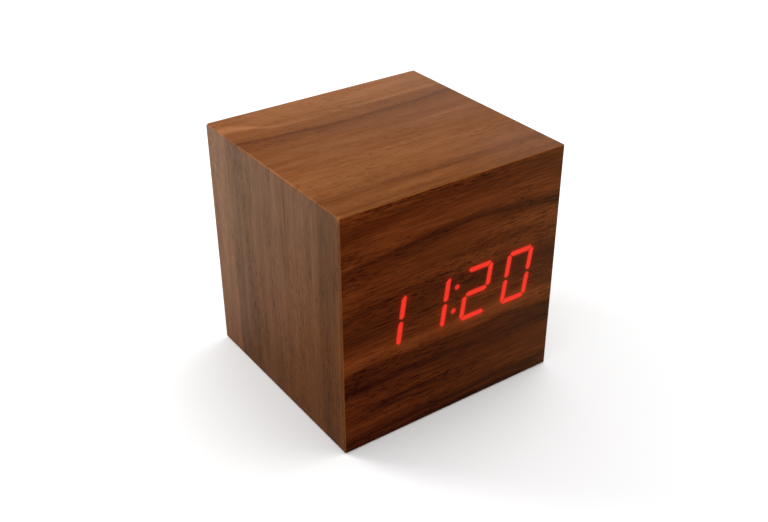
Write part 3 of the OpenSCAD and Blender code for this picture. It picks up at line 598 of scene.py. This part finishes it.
def digit_paint(point):
    """Red light through the film: brightest along each segment's middle, broken up by the grain
    and weaker in the two dots, which lie near x = 0."""
    x, _, _ = xyz(point)
    _, _, pores = front_grain(point)
    fine = noise(point, (0.10, 0.0, 1.50), 3.0, 0.7)
    inside = -light_distance(point) / (SEGMENT_W / 2)
    heat = inside.above(-0.1, 0.75)
    through = 0.95 + fine * 0.9 - pores * 0.4 - x.bell(0.0, 1.2) * 0.35
    look = bpy.context.scene.clock_display
    light = mixed((heat * through).clamped(), look.edge_light[:], look.light[:])
    return {
        "Base Color": mixed(heat, (0.05, 0.002, 0.001), (0.08, 0.003, 0.002)),
        "Emission Color": light,
        "Roughness": 0.5 + fine * 0.1,
    }


# ---- Boards, plastics and metals


def fibreboard_paint(point):
    """Pressed fibres: fine specks in all directions, in lighter and darker clouds."""
    speck = noise(point, 2.6, 4.0, 0.7)
    cloud = noise(point, 0.25, 2.0, 0.5, 4.0)
    tone = 0.5 + speck * 0.9 + cloud * 0.5
    browns = (0.115, 0.062, 0.026), (0.25, 0.15, 0.075), (0.42, 0.28, 0.16)
    return {
        "Base Color": ramp(tone, (0.1, 0.5, 0.9), browns),
        "Roughness": 0.86 + speck * 0.15,
        "Normal": bumped(speck, 0.12, 0.8),
    }


def block_paint(point):
    """Pale softwood with growth lines along Y: the sine of a slow noise."""
    x, y, z = xyz(point)
    grain = joined(point.tree, y, x, z)
    rings = noise(grain, (0.04, 0.5, 0.35), 3.0, 0.6, 2.0) * 30.0
    fine = noise(grain, (0.3, 5.0, 5.0), 2.0, 0.5, 6.0)
    tone = 0.5 + rings.math("SINE", rings) * 0.25 + fine * 0.5
    return {
        "Base Color": ramp(tone, (0.0, 1.0), ((0.36, 0.20, 0.085), (0.68, 0.48, 0.26))),
        "Roughness": 0.7 + fine * 0.2,
        "Normal": bumped(tone, 0.05, 0.6),
    }


def plastic_paint(base, spread, rate, depth, rough):
    """Moulded plastic: a base colour up to spread times as light where it flowed or is rubbed, and
    an even grain of rate cycles a millimetre, depth mm deep."""

    def paint(point):
        grain = noise(point, rate, 3.0, 0.65)
        flow = noise(point, 0.09, 2.0, 0.5, 8.0)
        rub = noise(point, 0.5, 3.0, 0.6, 3.0).above(0.08, 0.3)
        lighter = tuple(min(1.0, c * spread + 0.006) for c in base)
        colour = mixed((0.35 + flow * 1.2 + grain * 0.5 + rub * 0.25).clamped(), base, lighter)
        return {
            "Base Color": colour,
            "Roughness": rough + grain * 0.16 - rub * 0.06,
            "Normal": bumped(grain, depth, 0.8),
        }

    return paint


def metal_paint(base, brushing, rough):
    """Plated or turned metal: fine brushing along the axis with the least rate, and dull spots."""

    def paint(point):
        lines = noise(point, brushing, 3.0, 0.6)
        dull = noise(point, 0.4, 3.0, 0.6, 6.0).above(0.0, 0.3)
        darker = tuple(c * 0.62 for c in base)
        colour = mixed((dull * 0.7 + lines * 0.5).clamped(), base, darker)
        return {
            "Base Color": colour,
            "Roughness": rough + lines * 0.2 + dull * 0.14,
            "Normal": bumped(lines, 0.015, 0.5),
        }

    return paint


def sheet_paint(base, rate, rough):
    """Smooth moulding, resin or film with a faint mottle of rate cycles a millimetre."""

    def paint(point):
        mottle = noise(point, rate, 3.0, 0.6)
        wide = noise(point, 0.08, 2.0, 0.5, 2.0)
        darker = tuple(c * 0.84 for c in base)
        return {
            "Base Color": mixed((0.35 + mottle * 0.8 + wide * 0.6).clamped(), base, darker),
            "Roughness": rough + mottle * 0.12,
            "Normal": bumped(mottle, 0.02, 0.4),
        }

    return paint


def board_paint(point):
    """Green circuit board: short straight tracks and tinned pads, picked at random on a grid of
    2.54 mm, and a faint weave."""
    x, _, z = xyz(point)
    cell = 2.54
    column, row = (w.math("SNAP", w, cell) for w in (x, z))
    place = {"Vector": joined(point.tree, column, row, 0.0)}
    pick = point.add("ShaderNodeTexWhiteNoise", {"noise_dimensions": "2D"}, place)
    fx = abs(x - column - cell / 2)
    fz = abs(z - row - cell / 2)
    across = fz.above(0.32, 0.24) * pick.above(0.30, 0.32)
    upward = fx.above(0.32, 0.24) * pick.above(0.62, 0.60)
    track = across.most(upward)
    squared = fx * fx + fz * fz
    pad = squared.above(0.42, 0.30) * pick.above(0.80, 0.82)
    hole = squared.above(0.13, 0.07) * pad
    weave = noise(point, 1.6, 2.0, 0.5)
    green = mixed(track * 0.75, (0.006, 0.085, 0.028), (0.018, 0.19, 0.062))
    green = mixed((weave + 0.3).clamped() * 0.5, green, (0.004, 0.055, 0.02))
    colour = mixed(pad, green, (0.62, 0.60, 0.55))
    colour = mixed(hole, colour, (0.02, 0.02, 0.018))
    return {
        "Base Color": colour,
        "Metallic": pad - hole,
        "Roughness": 0.34 + weave * 0.12 + pad * 0.06,
        "Normal": bumped(track * 0.5 + pad * 0.6 + weave * 0.2, 0.04, 0.8),
    }


def battery_paint(point):
    """A plain jacket in two colours with bare metal at both ends. The middle battery points the
    other way, so its pattern runs from the other side."""
    x, _, z = xyz(point)
    half, soft = (CELL_Z[1] - CELL_Z[0]) / 2, 0.05
    middle = abs(z - CELL_Z[1]).above(half + 0.01, half - 0.01)
    along = x * (1 - middle * 2)
    # Places along the battery: the jacket's ends, and where its second colour starts
    low, high, change = SPRING_X - CELL_L + 0.6, SPRING_X - 1.8, SPRING_X - 11.15
    jacket = along.above(low - soft, low + soft) * along.above(high + soft, high - soft)
    ring = along.above(change - soft, change + soft)
    line = along.bell(change - 0.75, 0.22)
    scuff = noise(point, (0.25, 1.4, 1.4), 3.0, 0.65)
    fleck = noise(point, 3.0, 2.0, 0.6, 4.0)
    body = mixed((0.4 + scuff * 0.9).clamped(), (0.030, 0.115, 0.085), (0.052, 0.165, 0.125))
    body = mixed(ring, body, (0.62, 0.56, 0.42))
    body = mixed(line, body, (0.70, 0.68, 0.62))
    metal = mixed((0.4 + scuff).clamped(), (0.66, 0.65, 0.62), (0.42, 0.41, 0.39))
    return {
        "Base Color": mixed(jacket, metal, body),
        "Metallic": 1.0 - jacket * 0.65,
        "Roughness": 0.30 + scuff * 0.16 + fleck * 0.08,
        "Normal": bumped(scuff + fleck * 0.4, 0.02, 0.5),
    }


# ---- Settings


def colour_setting(name, default, description):
    return bpy.props.FloatVectorProperty(
        name=name, description=description, default=default,
        subtype="COLOR", size=3, min=0.0, max=1.0
    )


def number_setting(name, default, description, **limits):
    return bpy.props.FloatProperty(name=name, description=description, default=default, **limits)


class ClockWood(bpy.types.PropertyGroup):
    """Colours of the wood film."""

    # The front's colours are the walnut film made darker with painted shade, as the front faces
    # away from the main light
    front_dark: colour_setting("Front dark", (0.018, 0.0014, 0.0001), "Dark streaks of the front")
    front_mid: colour_setting("Front middle", (0.082, 0.0145, 0.0012), "Most of the front")
    front_orange: colour_setting("Front light", (0.185, 0.0425, 0.0075), "Light bands of the front")
    front_grey: colour_setting("Front grey", (0.095, 0.078, 0.030), "Greyer wood at its right")
    wrap_dark: colour_setting("Wrap dark", (0.084, 0.0200, 0.0020), "Dark streaks of the top")
    wrap_mid: colour_setting("Wrap middle", (0.158, 0.0470, 0.0085), "Most of the top")
    wrap_light: colour_setting("Wrap light", (0.276, 0.1020, 0.0330), "Light streaks of the top")
    # Painted sheen: the grey that the top turns towards at its back and right
    sheen_grey: colour_setting("Haze", (0.21, 0.145, 0.105), "Greyer wood at the top's back and right")
    # The sides' two colours: the wood in painted shade, low at the front, and with a painted sheen,
    # high at the back
    side_painted_shade: colour_setting("Side deep", (0.086, 0.0270, 0.0050), "Sides low at the front")
    side_painted_sheen: colour_setting("Side faded", (0.154, 0.0810, 0.0440), "Sides high at the back")
    # Edge colour: rubbed film and a painted highlight on the rounded edges
    edge: colour_setting("Edge", (0.34, 0.120, 0.034), "Rubbed edges of the case")

    def front_tones(self):
        return self.front_dark[:], self.front_mid[:], self.front_orange[:]

    def wrap_tones(self):
        return self.wrap_dark[:], self.wrap_mid[:], self.wrap_light[:]


class ClockDisplay(bpy.types.PropertyGroup):
    """Colours and strength of the display's light."""

    light: colour_setting("Light", (0.94, 0.027, 0.0065), "Middle of a lit segment")
    edge_light: colour_setting("Edge light", (0.56, 0.014, 0.004), "Rim of a lit segment")
    glow: colour_setting("Glow", (0.065, 0.0008, 0.0003), "Light that spreads into the film")
    strength: number_setting("Strength", 0.95, "Strength of the digits' light", min=0.0, max=20.0)


class ClockStage(bpy.types.PropertyGroup):
    """Floor, lights and camera."""

    floor: colour_setting("Floor", (0.90, 0.90, 0.90), "Colour of the floor")
    sky: number_setting("Surround", 0.85, "Brightness of the white surround", min=0.0, max=5.0)
    key: number_setting(
        "Main light", 0.75, "Power of the light low behind the left", min=0.0, unit="POWER"
    )
    fill: number_setting(
        "Top light", 2.0, "Power of the wide light above the right", min=0.0, unit="POWER"
    )
    azimuth: number_setting(
        "Azimuth", math.radians(-35.368), "Camera's turn from the clock's front", subtype="ANGLE"
    )
    elevation: number_setting(
        "Elevation", math.radians(31.685), "Camera's height above the horizon", subtype="ANGLE"
    )
    roll: number_setting(
        "Roll", math.radians(0.010), "Camera's turn about its own axis", subtype="ANGLE"
    )
    distance: number_setting(
        "Distance", WIDTH * 4.18963 * MM, "Camera's distance along its axis",
        unit="LENGTH", subtype="DISTANCE"
    )
    focal: number_setting(
        "Focal length", 48.811, "Camera's focal length in mm on a sensor 36 mm wide", min=10.0
    )


# ---- Operators


class CLOCK_OT_front_film(bpy.types.Operator):
    """Finishes the wood film on the front, with the light that spreads into it"""

    bl_idname = "clock.front_film"
    bl_label = "Front film"

    def execute(self, context):
        plain = {"Emission_Strength": 1.0, "Specular_IOR_Level": 0.015}
        finish("front_wood", front_paint, "front_film", **plain)
        return {"FINISHED"}


class CLOCK_OT_wrap_film(bpy.types.Operator):
    """Finishes the film that folds over the top and both sides"""

    bl_idname = "clock.wrap_film"
    bl_label = "Wrap film"

    def execute(self, context):
        finish("wrap_wood", wrap_paint, "wrap_film", Specular_IOR_Level=0.025)
        return {"FINISHED"}


class CLOCK_OT_underside(bpy.types.Operator):
    """Finishes the sheet underneath"""

    bl_idname = "clock.underside"
    bl_label = "Underside"

    def execute(self, context):
        finish("underside_wood", underside_paint, "bottom_film", Specular_IOR_Level=0.05)
        return {"FINISHED"}


class CLOCK_OT_digits(bpy.types.Operator):
    """Lights the digits and the two dots"""

    bl_idname = "clock.digits"
    bl_label = "Digits"

    def execute(self, context):
        power = context.scene.clock_display.strength
        plain = {"Emission_Strength": power, "Specular_IOR_Level": 0.1}
        finish("lit_red", digit_paint, "lit_segments", **plain)
        return {"FINISHED"}


class CLOCK_OT_case_boards(bpy.types.Operator):
    """Finishes the fibreboard case and the softwood blocks"""

    bl_idname = "clock.case_boards"
    bl_label = "Case boards"

    def execute(self, context):
        panels = [f"{side}_panel" for side in ("front", "top", "bottom", "left", "right")]
        finish("pressed_fibreboard", fibreboard_paint, *panels)
        finish("softwood_block", block_paint, "corner_blocks")
        return {"FINISHED"}


class CLOCK_OT_display(bpy.types.Operator):
    """Finishes the diffuser sheet, the white reflector and the light chips"""

    bl_idname = "clock.display"
    bl_label = "Display parts"

    def execute(self, context):
        sheet = sheet_paint((0.82, 0.81, 0.78), rate=4.0, rough=0.55)
        block = sheet_paint((0.78, 0.77, 0.73), rate=1.2, rough=0.42)
        chips = sheet_paint((0.80, 0.66, 0.30), rate=6.0, rough=0.25)
        finish("diffuser_sheet", sheet, "light_diffuser")
        finish("white_moulding", block, "segment_reflector")
        finish("light_chip_resin", chips, "led_chips")
        return {"FINISHED"}


class CLOCK_OT_circuit_boards(bpy.types.Operator):
    """Finishes both circuit boards and what is soldered to them"""

    bl_idname = "clock.circuit_boards"
    bl_label = "Circuit boards"

    def execute(self, context):
        resin = plastic_paint((0.014, 0.014, 0.015), spread=2.2, rate=5.0, depth=0.03, rough=0.5)
        legs = metal_paint((0.72, 0.71, 0.68), brushing=(5.0, 1.0, 5.0), rough=0.3)
        ceramic = sheet_paint((0.42, 0.27, 0.13), rate=3.0, rough=0.4)
        sleeve = plastic_paint((0.022, 0.040, 0.105), spread=1.8, rate=2.5, depth=0.01, rough=0.3)
        can = metal_paint((0.68, 0.68, 0.69), brushing=(0.6, 6.0, 6.0), rough=0.22)
        buzzer = plastic_paint((0.013, 0.013, 0.014), spread=2.0, rate=3.0, depth=0.03, rough=0.42)
        finish("green_board", board_paint, "main_board", "key_board")
        finish("chip_resin_black", resin, "control_chip", "driver_transistors", "resistors")
        finish("tinned_legs", legs, "chip_legs", Metallic=1.0)
        finish("tan_ceramic_body", ceramic, "ceramic_capacitors")
        finish("can_sleeve_blue", sleeve, "supply_capacitor")
        finish("crystal_can_metal", can, "clock_crystal", Metallic=1.0)
        finish("buzzer_case", buzzer, "buzzer")
        return {"FINISHED"}


class CLOCK_OT_fasteners(bpy.types.Operator):
    """Finishes the screws and the nylon spacers"""

    bl_idname = "clock.fasteners"
    bl_label = "Screws and spacers"

    def execute(self, context):
        bright = metal_paint((0.66, 0.66, 0.65), brushing=(4.0, 0.7, 4.0), rough=0.26)
        dark = metal_paint((0.34, 0.34, 0.33), brushing=(3.0, 0.8, 3.0), rough=0.32)
        nylon = sheet_paint((0.70, 0.68, 0.60), rate=2.0, rough=0.38)
        finish("bright_screw_steel", bright, "board_screws", "key_board_screws", Metallic=1.0)
        finish("dark_screw_steel", dark, "rear_screws", Metallic=1.0)
        finish("white_nylon", nylon, "board_spacers")
        return {"FINISHED"}


class CLOCK_OT_rear_cover(bpy.types.Operator):
    """Finishes the moulded rear cover, the battery door and the power socket"""

    bl_idname = "clock.rear_cover"
    bl_label = "Rear cover"

    def execute(self, context):
        cover = plastic_paint((0.012, 0.012, 0.013), spread=2.6, rate=4.2, depth=0.06, rough=0.52)
        door = plastic_paint((0.016, 0.016, 0.017), spread=2.4, rate=3.6, depth=0.06, rough=0.48)
        socket = plastic_paint((0.010, 0.010, 0.011), spread=2.0, rate=6.0, depth=0.01, rough=0.34)
        pin = metal_paint((0.74, 0.72, 0.66), brushing=(5.0, 0.8, 5.0), rough=0.2)
        finish("cover_plastic", cover, "rear_cover", Specular_IOR_Level=0.3)
        finish("door_plastic_black", door, "battery_door", Specular_IOR_Level=0.3)
        finish("socket_plastic", socket, "power_socket", Specular_IOR_Level=0.35)
        finish("socket_pin_metal", pin, "socket_pin", Metallic=1.0)
        return {"FINISHED"}


class CLOCK_OT_keys(bpy.types.Operator):
    """Finishes the three keys, their plungers and the switches"""

    bl_idname = "clock.keys"
    bl_label = "Keys"

    def execute(self, context):
        caps = plastic_paint((0.040, 0.040, 0.043), spread=1.7, rate=3.0, depth=0.02, rough=0.36)
        ivory = sheet_paint((0.60, 0.58, 0.50), rate=2.5, rough=0.36)
        body = plastic_paint((0.018, 0.018, 0.019), spread=2.0, rate=3.0, depth=0.02, rough=0.42)
        finish("key_cap_plastic", caps, "set_key", "up_key", "down_key")
        finish("plunger_ivory", ivory, "set_plunger", "up_plunger", "down_plunger")
        finish("switch_body_plastic", body, "key_switches")
        return {"FINISHED"}


class CLOCK_OT_batteries(bpy.types.Operator):
    """Finishes the batteries and their contact plates"""

    bl_idname = "clock.batteries"
    bl_label = "Batteries"

    def execute(self, context):
        plate = metal_paint((0.70, 0.69, 0.65), brushing=(3.0, 0.5, 3.0), rough=0.26)
        finish("battery_two_tone", battery_paint, "batteries")
        finish("nickel_sheet", plate, "contact_plates", Metallic=1.0)
        return {"FINISHED"}


def spring_path(turns=3, lead=0.5, steps=144):
    """A conical spring along +Z, SPRING_L tall: the radius times the cosine and the sine of the
    angle, where radius and height change evenly with the angle. The wire is straight for about
    lead mm at both ends."""
    wide, narrow, end = SPRING_WIDE, SPRING_NARROW, 0.02
    s = np.linspace(0, 1, steps)
    angle, radius = s * turns * 2 * np.pi, wide + (narrow - wide) * s
    height = lead + (SPRING_L - 2 * lead) * s
    coil = np.stack([radius * np.cos(angle), radius * np.sin(angle), height], 1)
    return np.concatenate([[[wide, 0, end]], coil, [[narrow, 0, SPRING_L - end]]])


class CLOCK_OT_springs(bpy.types.Operator):
    """Winds the three contact springs of round wire"""

    bl_idname = "clock.springs"
    bl_label = "Contact springs"

    def execute(self, context):
        forward, across, up = spring_path().T
        parts = []
        for side, z in zip((-1, 1, -1), CELL_Z):
            x = side * (SPRING_X - up)
            placed = np.stack([x, CELL_Y + across, z - forward], 1)
            outward = placed * [0, 1, 1] - [0, CELL_Y, z]
            parts.append(sweep(placed, outward, circle(SPRING_WIRE_R, 12)))
        wire = metal_paint((0.72, 0.71, 0.67), brushing=(0.8, 3.0, 3.0), rough=0.22)
        made = finish("spring_wire", wire, Metallic=1.0)
        thing = mesh_object("spring_coils", *together(parts), made, "case", "nickel_plate")
        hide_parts("contact_springs")
        return {"FINISHED"}


def s_path(run, climb, steps=48):
    """(distance, height) pairs along a run that climbs between two straight leads: the height
    is climb times s less the sine of a full turn at s over two pi."""
    lead = run * 0.15
    s = np.linspace(0, 1, steps)
    y = lead + s * (run - 2 * lead)
    z = climb * (s - np.sin(2 * np.pi * s) / (2 * np.pi))
    start = [[0.0, 0.0], [lead / 2, 0.0]]
    end = [[run - lead / 2, climb], [run, climb]]
    return np.concatenate([start, np.stack([y, z], 1), end])


def insulation_paint(base):
    """Drawn insulation: faint streaks along the wire and a little dust."""

    def paint(point):
        draw = noise(point, (1.5, 0.12, 1.5), 2.0, 0.6)
        dust = noise(point, 0.9, 3.0, 0.6, 5.0).above(0.05, 0.35)
        paler = tuple(min(1.0, c * 1.5 + 0.03) for c in base)
        return {
            "Base Color": mixed((draw * 0.7 + dust * 0.4 + 0.15).clamped(), base, paler),
            "Roughness": 0.38 + dust * 0.25 + draw * 0.1,
            "Normal": bumped(draw, 0.02, 0.5),
        }

    return paint


class CLOCK_OT_wires(bpy.types.Operator):
    """Lays the red and black battery wires from the contacts to the main board"""

    bl_idname = "clock.wires"
    bl_label = "Battery wires"

    def execute(self, context):
        away, climb = s_path(WIRE_START_Y - BOARD_BACK_Y, WIRE_CLIMB).T
        for name, x, z, way, base in (
            ("red", PLATE_X, CELL_Z[2], -1, (0.42, 0.012, 0.010)),
            ("black", -PLATE_X, CELL_Z[0], 1, (0.016, 0.016, 0.017)),
        ):
            path = np.stack([np.full(len(away), x), WIRE_START_Y - away, z + way * climb], 1)
            points, faces = sweep(path, [1, 0, 0], circle(WIRE_R, 16))
            made = finish(f"{name}_insulation_drawn", insulation_paint(base))
            lead, slot = f"{name}_battery_lead", f"{name}_insulation"
            thing = mesh_object(lead, points, faces, made, "case", slot)
            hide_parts(f"{name}_wire")
        return {"FINISHED"}


def ribbon_outline(each=10):
    """The outline of joined round cores: above and below each core it lies at half the pitch
    times 0.30 plus 0.68 times the square root of a half sine across the core."""
    half = RIBBON_CORES * RIBBON_PITCH / 2
    x = np.linspace(-half, half, RIBBON_CORES * each + 1)[:-1] + RIBBON_PITCH / each / 2
    bulge = np.sqrt(np.abs(np.sin(np.pi * (x + half) / RIBBON_PITCH)))
    y = RIBBON_PITCH / 2 * (0.30 + 0.68 * bulge)
    top = np.stack([x, y], 1)
    return np.concatenate([top[::-1], top * [1, -1]])


def ribbon_paint(point):
    """Grey ribbon with its leftmost core marked red."""
    x, _, _ = xyz(point)
    dust = noise(point, 0.8, 3.0, 0.6)
    grey = mixed((dust + 0.4).clamped(), (0.30, 0.30, 0.32), (0.42, 0.42, 0.43))
    inner = RIBBON_X - (RIBBON_CORES / 2 - 1) * RIBBON_PITCH
    mark = x.above(inner + 0.04, inner - 0.02)
    return {
        "Base Color": mixed(mark, grey, (0.40, 0.02, 0.015)),
        "Roughness": 0.45 + dust * 0.15,
        "Normal": bumped(dust, 0.02, 0.5),
    }


class CLOCK_OT_ribbon(bpy.types.Operator):
    """Lays the ribbon cable from the key board to the main board"""

    bl_idname = "clock.ribbon"
    bl_label = "Ribbon cable"

    def execute(self, context):
        run, climb = RIBBON_START_Y - BOARD_BACK_Y, RIBBON_LAND_Z - RIBBON_START_Z
        y, z = s_path(run, climb).T
        path = np.stack([np.full(len(y), RIBBON_X), RIBBON_START_Y - y, RIBBON_START_Z + z], 1)
        points, faces = sweep(path, [1, 0, 0], ribbon_outline())
        made = finish("ribbon_grey", ribbon_paint)
        slot = "grey_insulation"
        thing = mesh_object("ribbon_cores", points, faces, made, "case", slot, sharp_deg=60.0)
        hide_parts("ribbon_cable")
        return {"FINISHED"}


def solder_profile(foot, height):
    """A solder fillet: its radius falls from foot to 0.38 of it with the height's square root."""
    s = np.linspace(0, 1, 9)
    r = foot * (1 - 0.62 * np.sqrt(s))
    return np.concatenate([[[0.01, 0.0]], np.stack([r, s * height], 1), [[0.01, height]]])


class CLOCK_OT_solder(bpy.types.Operator):
    """Puts solder where the battery wires meet the main board and their contacts"""

    bl_idname = "clock.solder"
    bl_label = "Solder joints"

    def execute(self, context):
        parts = []
        # A bead: half an ellipse of 0.85 by 1.1 mm, turned
        turn = np.linspace(0, np.pi, 13)
        bead = np.stack([0.02 + 0.85 * np.sin(turn), -1.1 * np.cos(turn)], 1)
        for x, z, way in ((PLATE_X, CELL_Z[2], -1), (-PLATE_X, CELL_Z[0], 1)):
            landing = (x, BOARD_BACK_Y, z + way * WIRE_CLIMB)
            parts.append(lathe(solder_profile(foot=1.25, height=1.3), landing))
            parts.append(lathe(bead, (x, WIRE_START_Y + 0.2, z)))
        tin = metal_paint((0.66, 0.66, 0.65), brushing=1.5, rough=0.24)
        made = finish("solder", tin, Metallic=1.0)
        mesh_object("solder_joints", *together(parts), made, "case", "tinned_metal")
        return {"FINISHED"}


def camera_axes(look):
    """The camera's right, up and backward directions: backward points at it from the clock."""
    a, e = look.azimuth, look.elevation
    back = Vector((math.sin(a) * math.cos(e), -math.cos(a) * math.cos(e), math.sin(e)))
    right = (-back).cross(Vector((0, 0, 1))).normalized()
    up = right.cross(-back)
    c, s = math.cos(look.roll), math.sin(look.roll)
    return c * right + s * up, c * up - s * right, back


def place_camera(look):
    """The camera, with the case's middle AIM_ACROSS case widths to the right of its axis and
    AIM_RAISED above it."""
    right, up, back = camera_axes(look)
    across, raised = AIM_ACROSS * WIDTH * MM, AIM_RAISED * WIDTH * MM
    data = bpy.data.cameras.new("view")
    camera = linked("view", data)
    middle = Vector((0, 0, HEIGHT / 2 * MM))
    place = middle - across * right - raised * up + look.distance * back
    turn = Matrix((right, up, back)).transposed().to_4x4()
    camera.matrix_world = Matrix.Translation(place) @ turn
    data.sensor_width, data.lens = SENSOR, look.focal
    data.shift_x, data.shift_y = SHIFT_X, SHIFT_Y
    data.clip_start, data.clip_end = 0.01, 20.0
    bpy.context.scene.camera = camera


def area_light(name, place, aim, size, power):
    """A round light size metres wide that shines from place to aim and that no view shows."""
    data = bpy.data.lights.new(name, "AREA")
    data.shape, data.size, data.energy = "DISK", size, power
    lamp = linked(name, data)
    lamp.visible_camera = False
    lamp.location = place
    lamp.rotation_euler = (Vector(aim) - Vector(place)).to_track_quat("-Z", "Y").to_euler()


def floor_paint(colour):
    """Plain paper with the faintest wide clouds."""
    darker = tuple(c * 0.985 for c in colour)

    def paint(point):
        cloud = noise(point, 0.004, 2.0)
        return {"Base Color": mixed((cloud + 0.5).clamped(), colour, darker)}

    return paint


class CLOCK_OT_stage(bpy.types.Operator):
    """Sets up the pale floor, the soft lights and the camera"""

    bl_idname = "clock.stage"
    bl_label = "Stage"

    def execute(self, context):
        look = context.scene.clock_stage
        mesh = bpy.data.meshes.new("floor")
        sides = (-1, -1, 0), (1, -1, 0), (1, 1, 0), (-1, 1, 0)
        mesh.from_pydata([Vector(c) * FLOOR_HALF_M for c in sides], [], [(0, 1, 2, 3)])
        mesh.materials.append(finish("floor_paper", floor_paint(look.floor[:]), Roughness=0.9))
        floor = linked("floor", mesh)
        world = bpy.data.worlds.new("surround")
        world.use_nodes = True
        background = world.node_tree.nodes["Background"]
        background.inputs["Color"].default_value = (1.0, 1.0, 1.0, 1.0)
        background.inputs["Strength"].default_value = look.sky
        context.scene.world = world
        area_light("key_light", (-0.19, 0.26, 0.24), (0, 0, 0.03), size=0.18, power=look.key)
        area_light("top_light", (0.30, -0.05, 0.62), (0.05, -0.03, 0), size=0.60, power=look.fill)
        place_camera(look)
        context.scene.view_settings.view_transform = "Standard"
        return {"FINISHED"}


OPERATORS = (
    CLOCK_OT_stage,
    CLOCK_OT_front_film,
    CLOCK_OT_wrap_film,
    CLOCK_OT_underside,
    CLOCK_OT_digits,
    CLOCK_OT_case_boards,
    CLOCK_OT_display,
    CLOCK_OT_circuit_boards,
    CLOCK_OT_fasteners,
    CLOCK_OT_rear_cover,
    CLOCK_OT_keys,
    CLOCK_OT_batteries,
    CLOCK_OT_springs,
    CLOCK_OT_wires,
    CLOCK_OT_ribbon,
    CLOCK_OT_solder,
)


class CLOCK_PT_panel(bpy.types.Panel):
    """Lists the clock's settings and pieces"""

    bl_idname = "CLOCK_PT_panel"
    bl_label = "Wooden clock"
    bl_space_type = "VIEW_3D"
    bl_region_type = "UI"
    bl_category = "Clock"

    def draw(self, context):
        for group in ("clock_wood", "clock_display", "clock_stage"):
            settings = getattr(context.scene, group)
            box = self.layout.box()
            for name in settings.__annotations__:
                box.prop(settings, name)
        for operator in OPERATORS:
            self.layout.operator(operator.bl_idname)


GROUPS = {"clock_wood": ClockWood, "clock_display": ClockDisplay, "clock_stage": ClockStage}


def register():
    for group in GROUPS.values():
        bpy.utils.register_class(group)
    for name, group in GROUPS.items():
        setattr(bpy.types.Scene, name, bpy.props.PointerProperty(type=group))
    for operator in OPERATORS:
        bpy.utils.register_class(operator)
    bpy.utils.register_class(CLOCK_PT_panel)


def unregister():
    bpy.utils.unregister_class(CLOCK_PT_panel)
    for operator in reversed(OPERATORS):
        bpy.utils.unregister_class(operator)
    for name, group in GROUPS.items():
        delattr(bpy.types.Scene, name)
        bpy.utils.unregister_class(group)


def main():
    register()
    for operator in OPERATORS:
        group, name = operator.bl_idname.split(".")
        getattr(getattr(bpy.ops, group), name)()


if __name__ == "__main__":
    main()
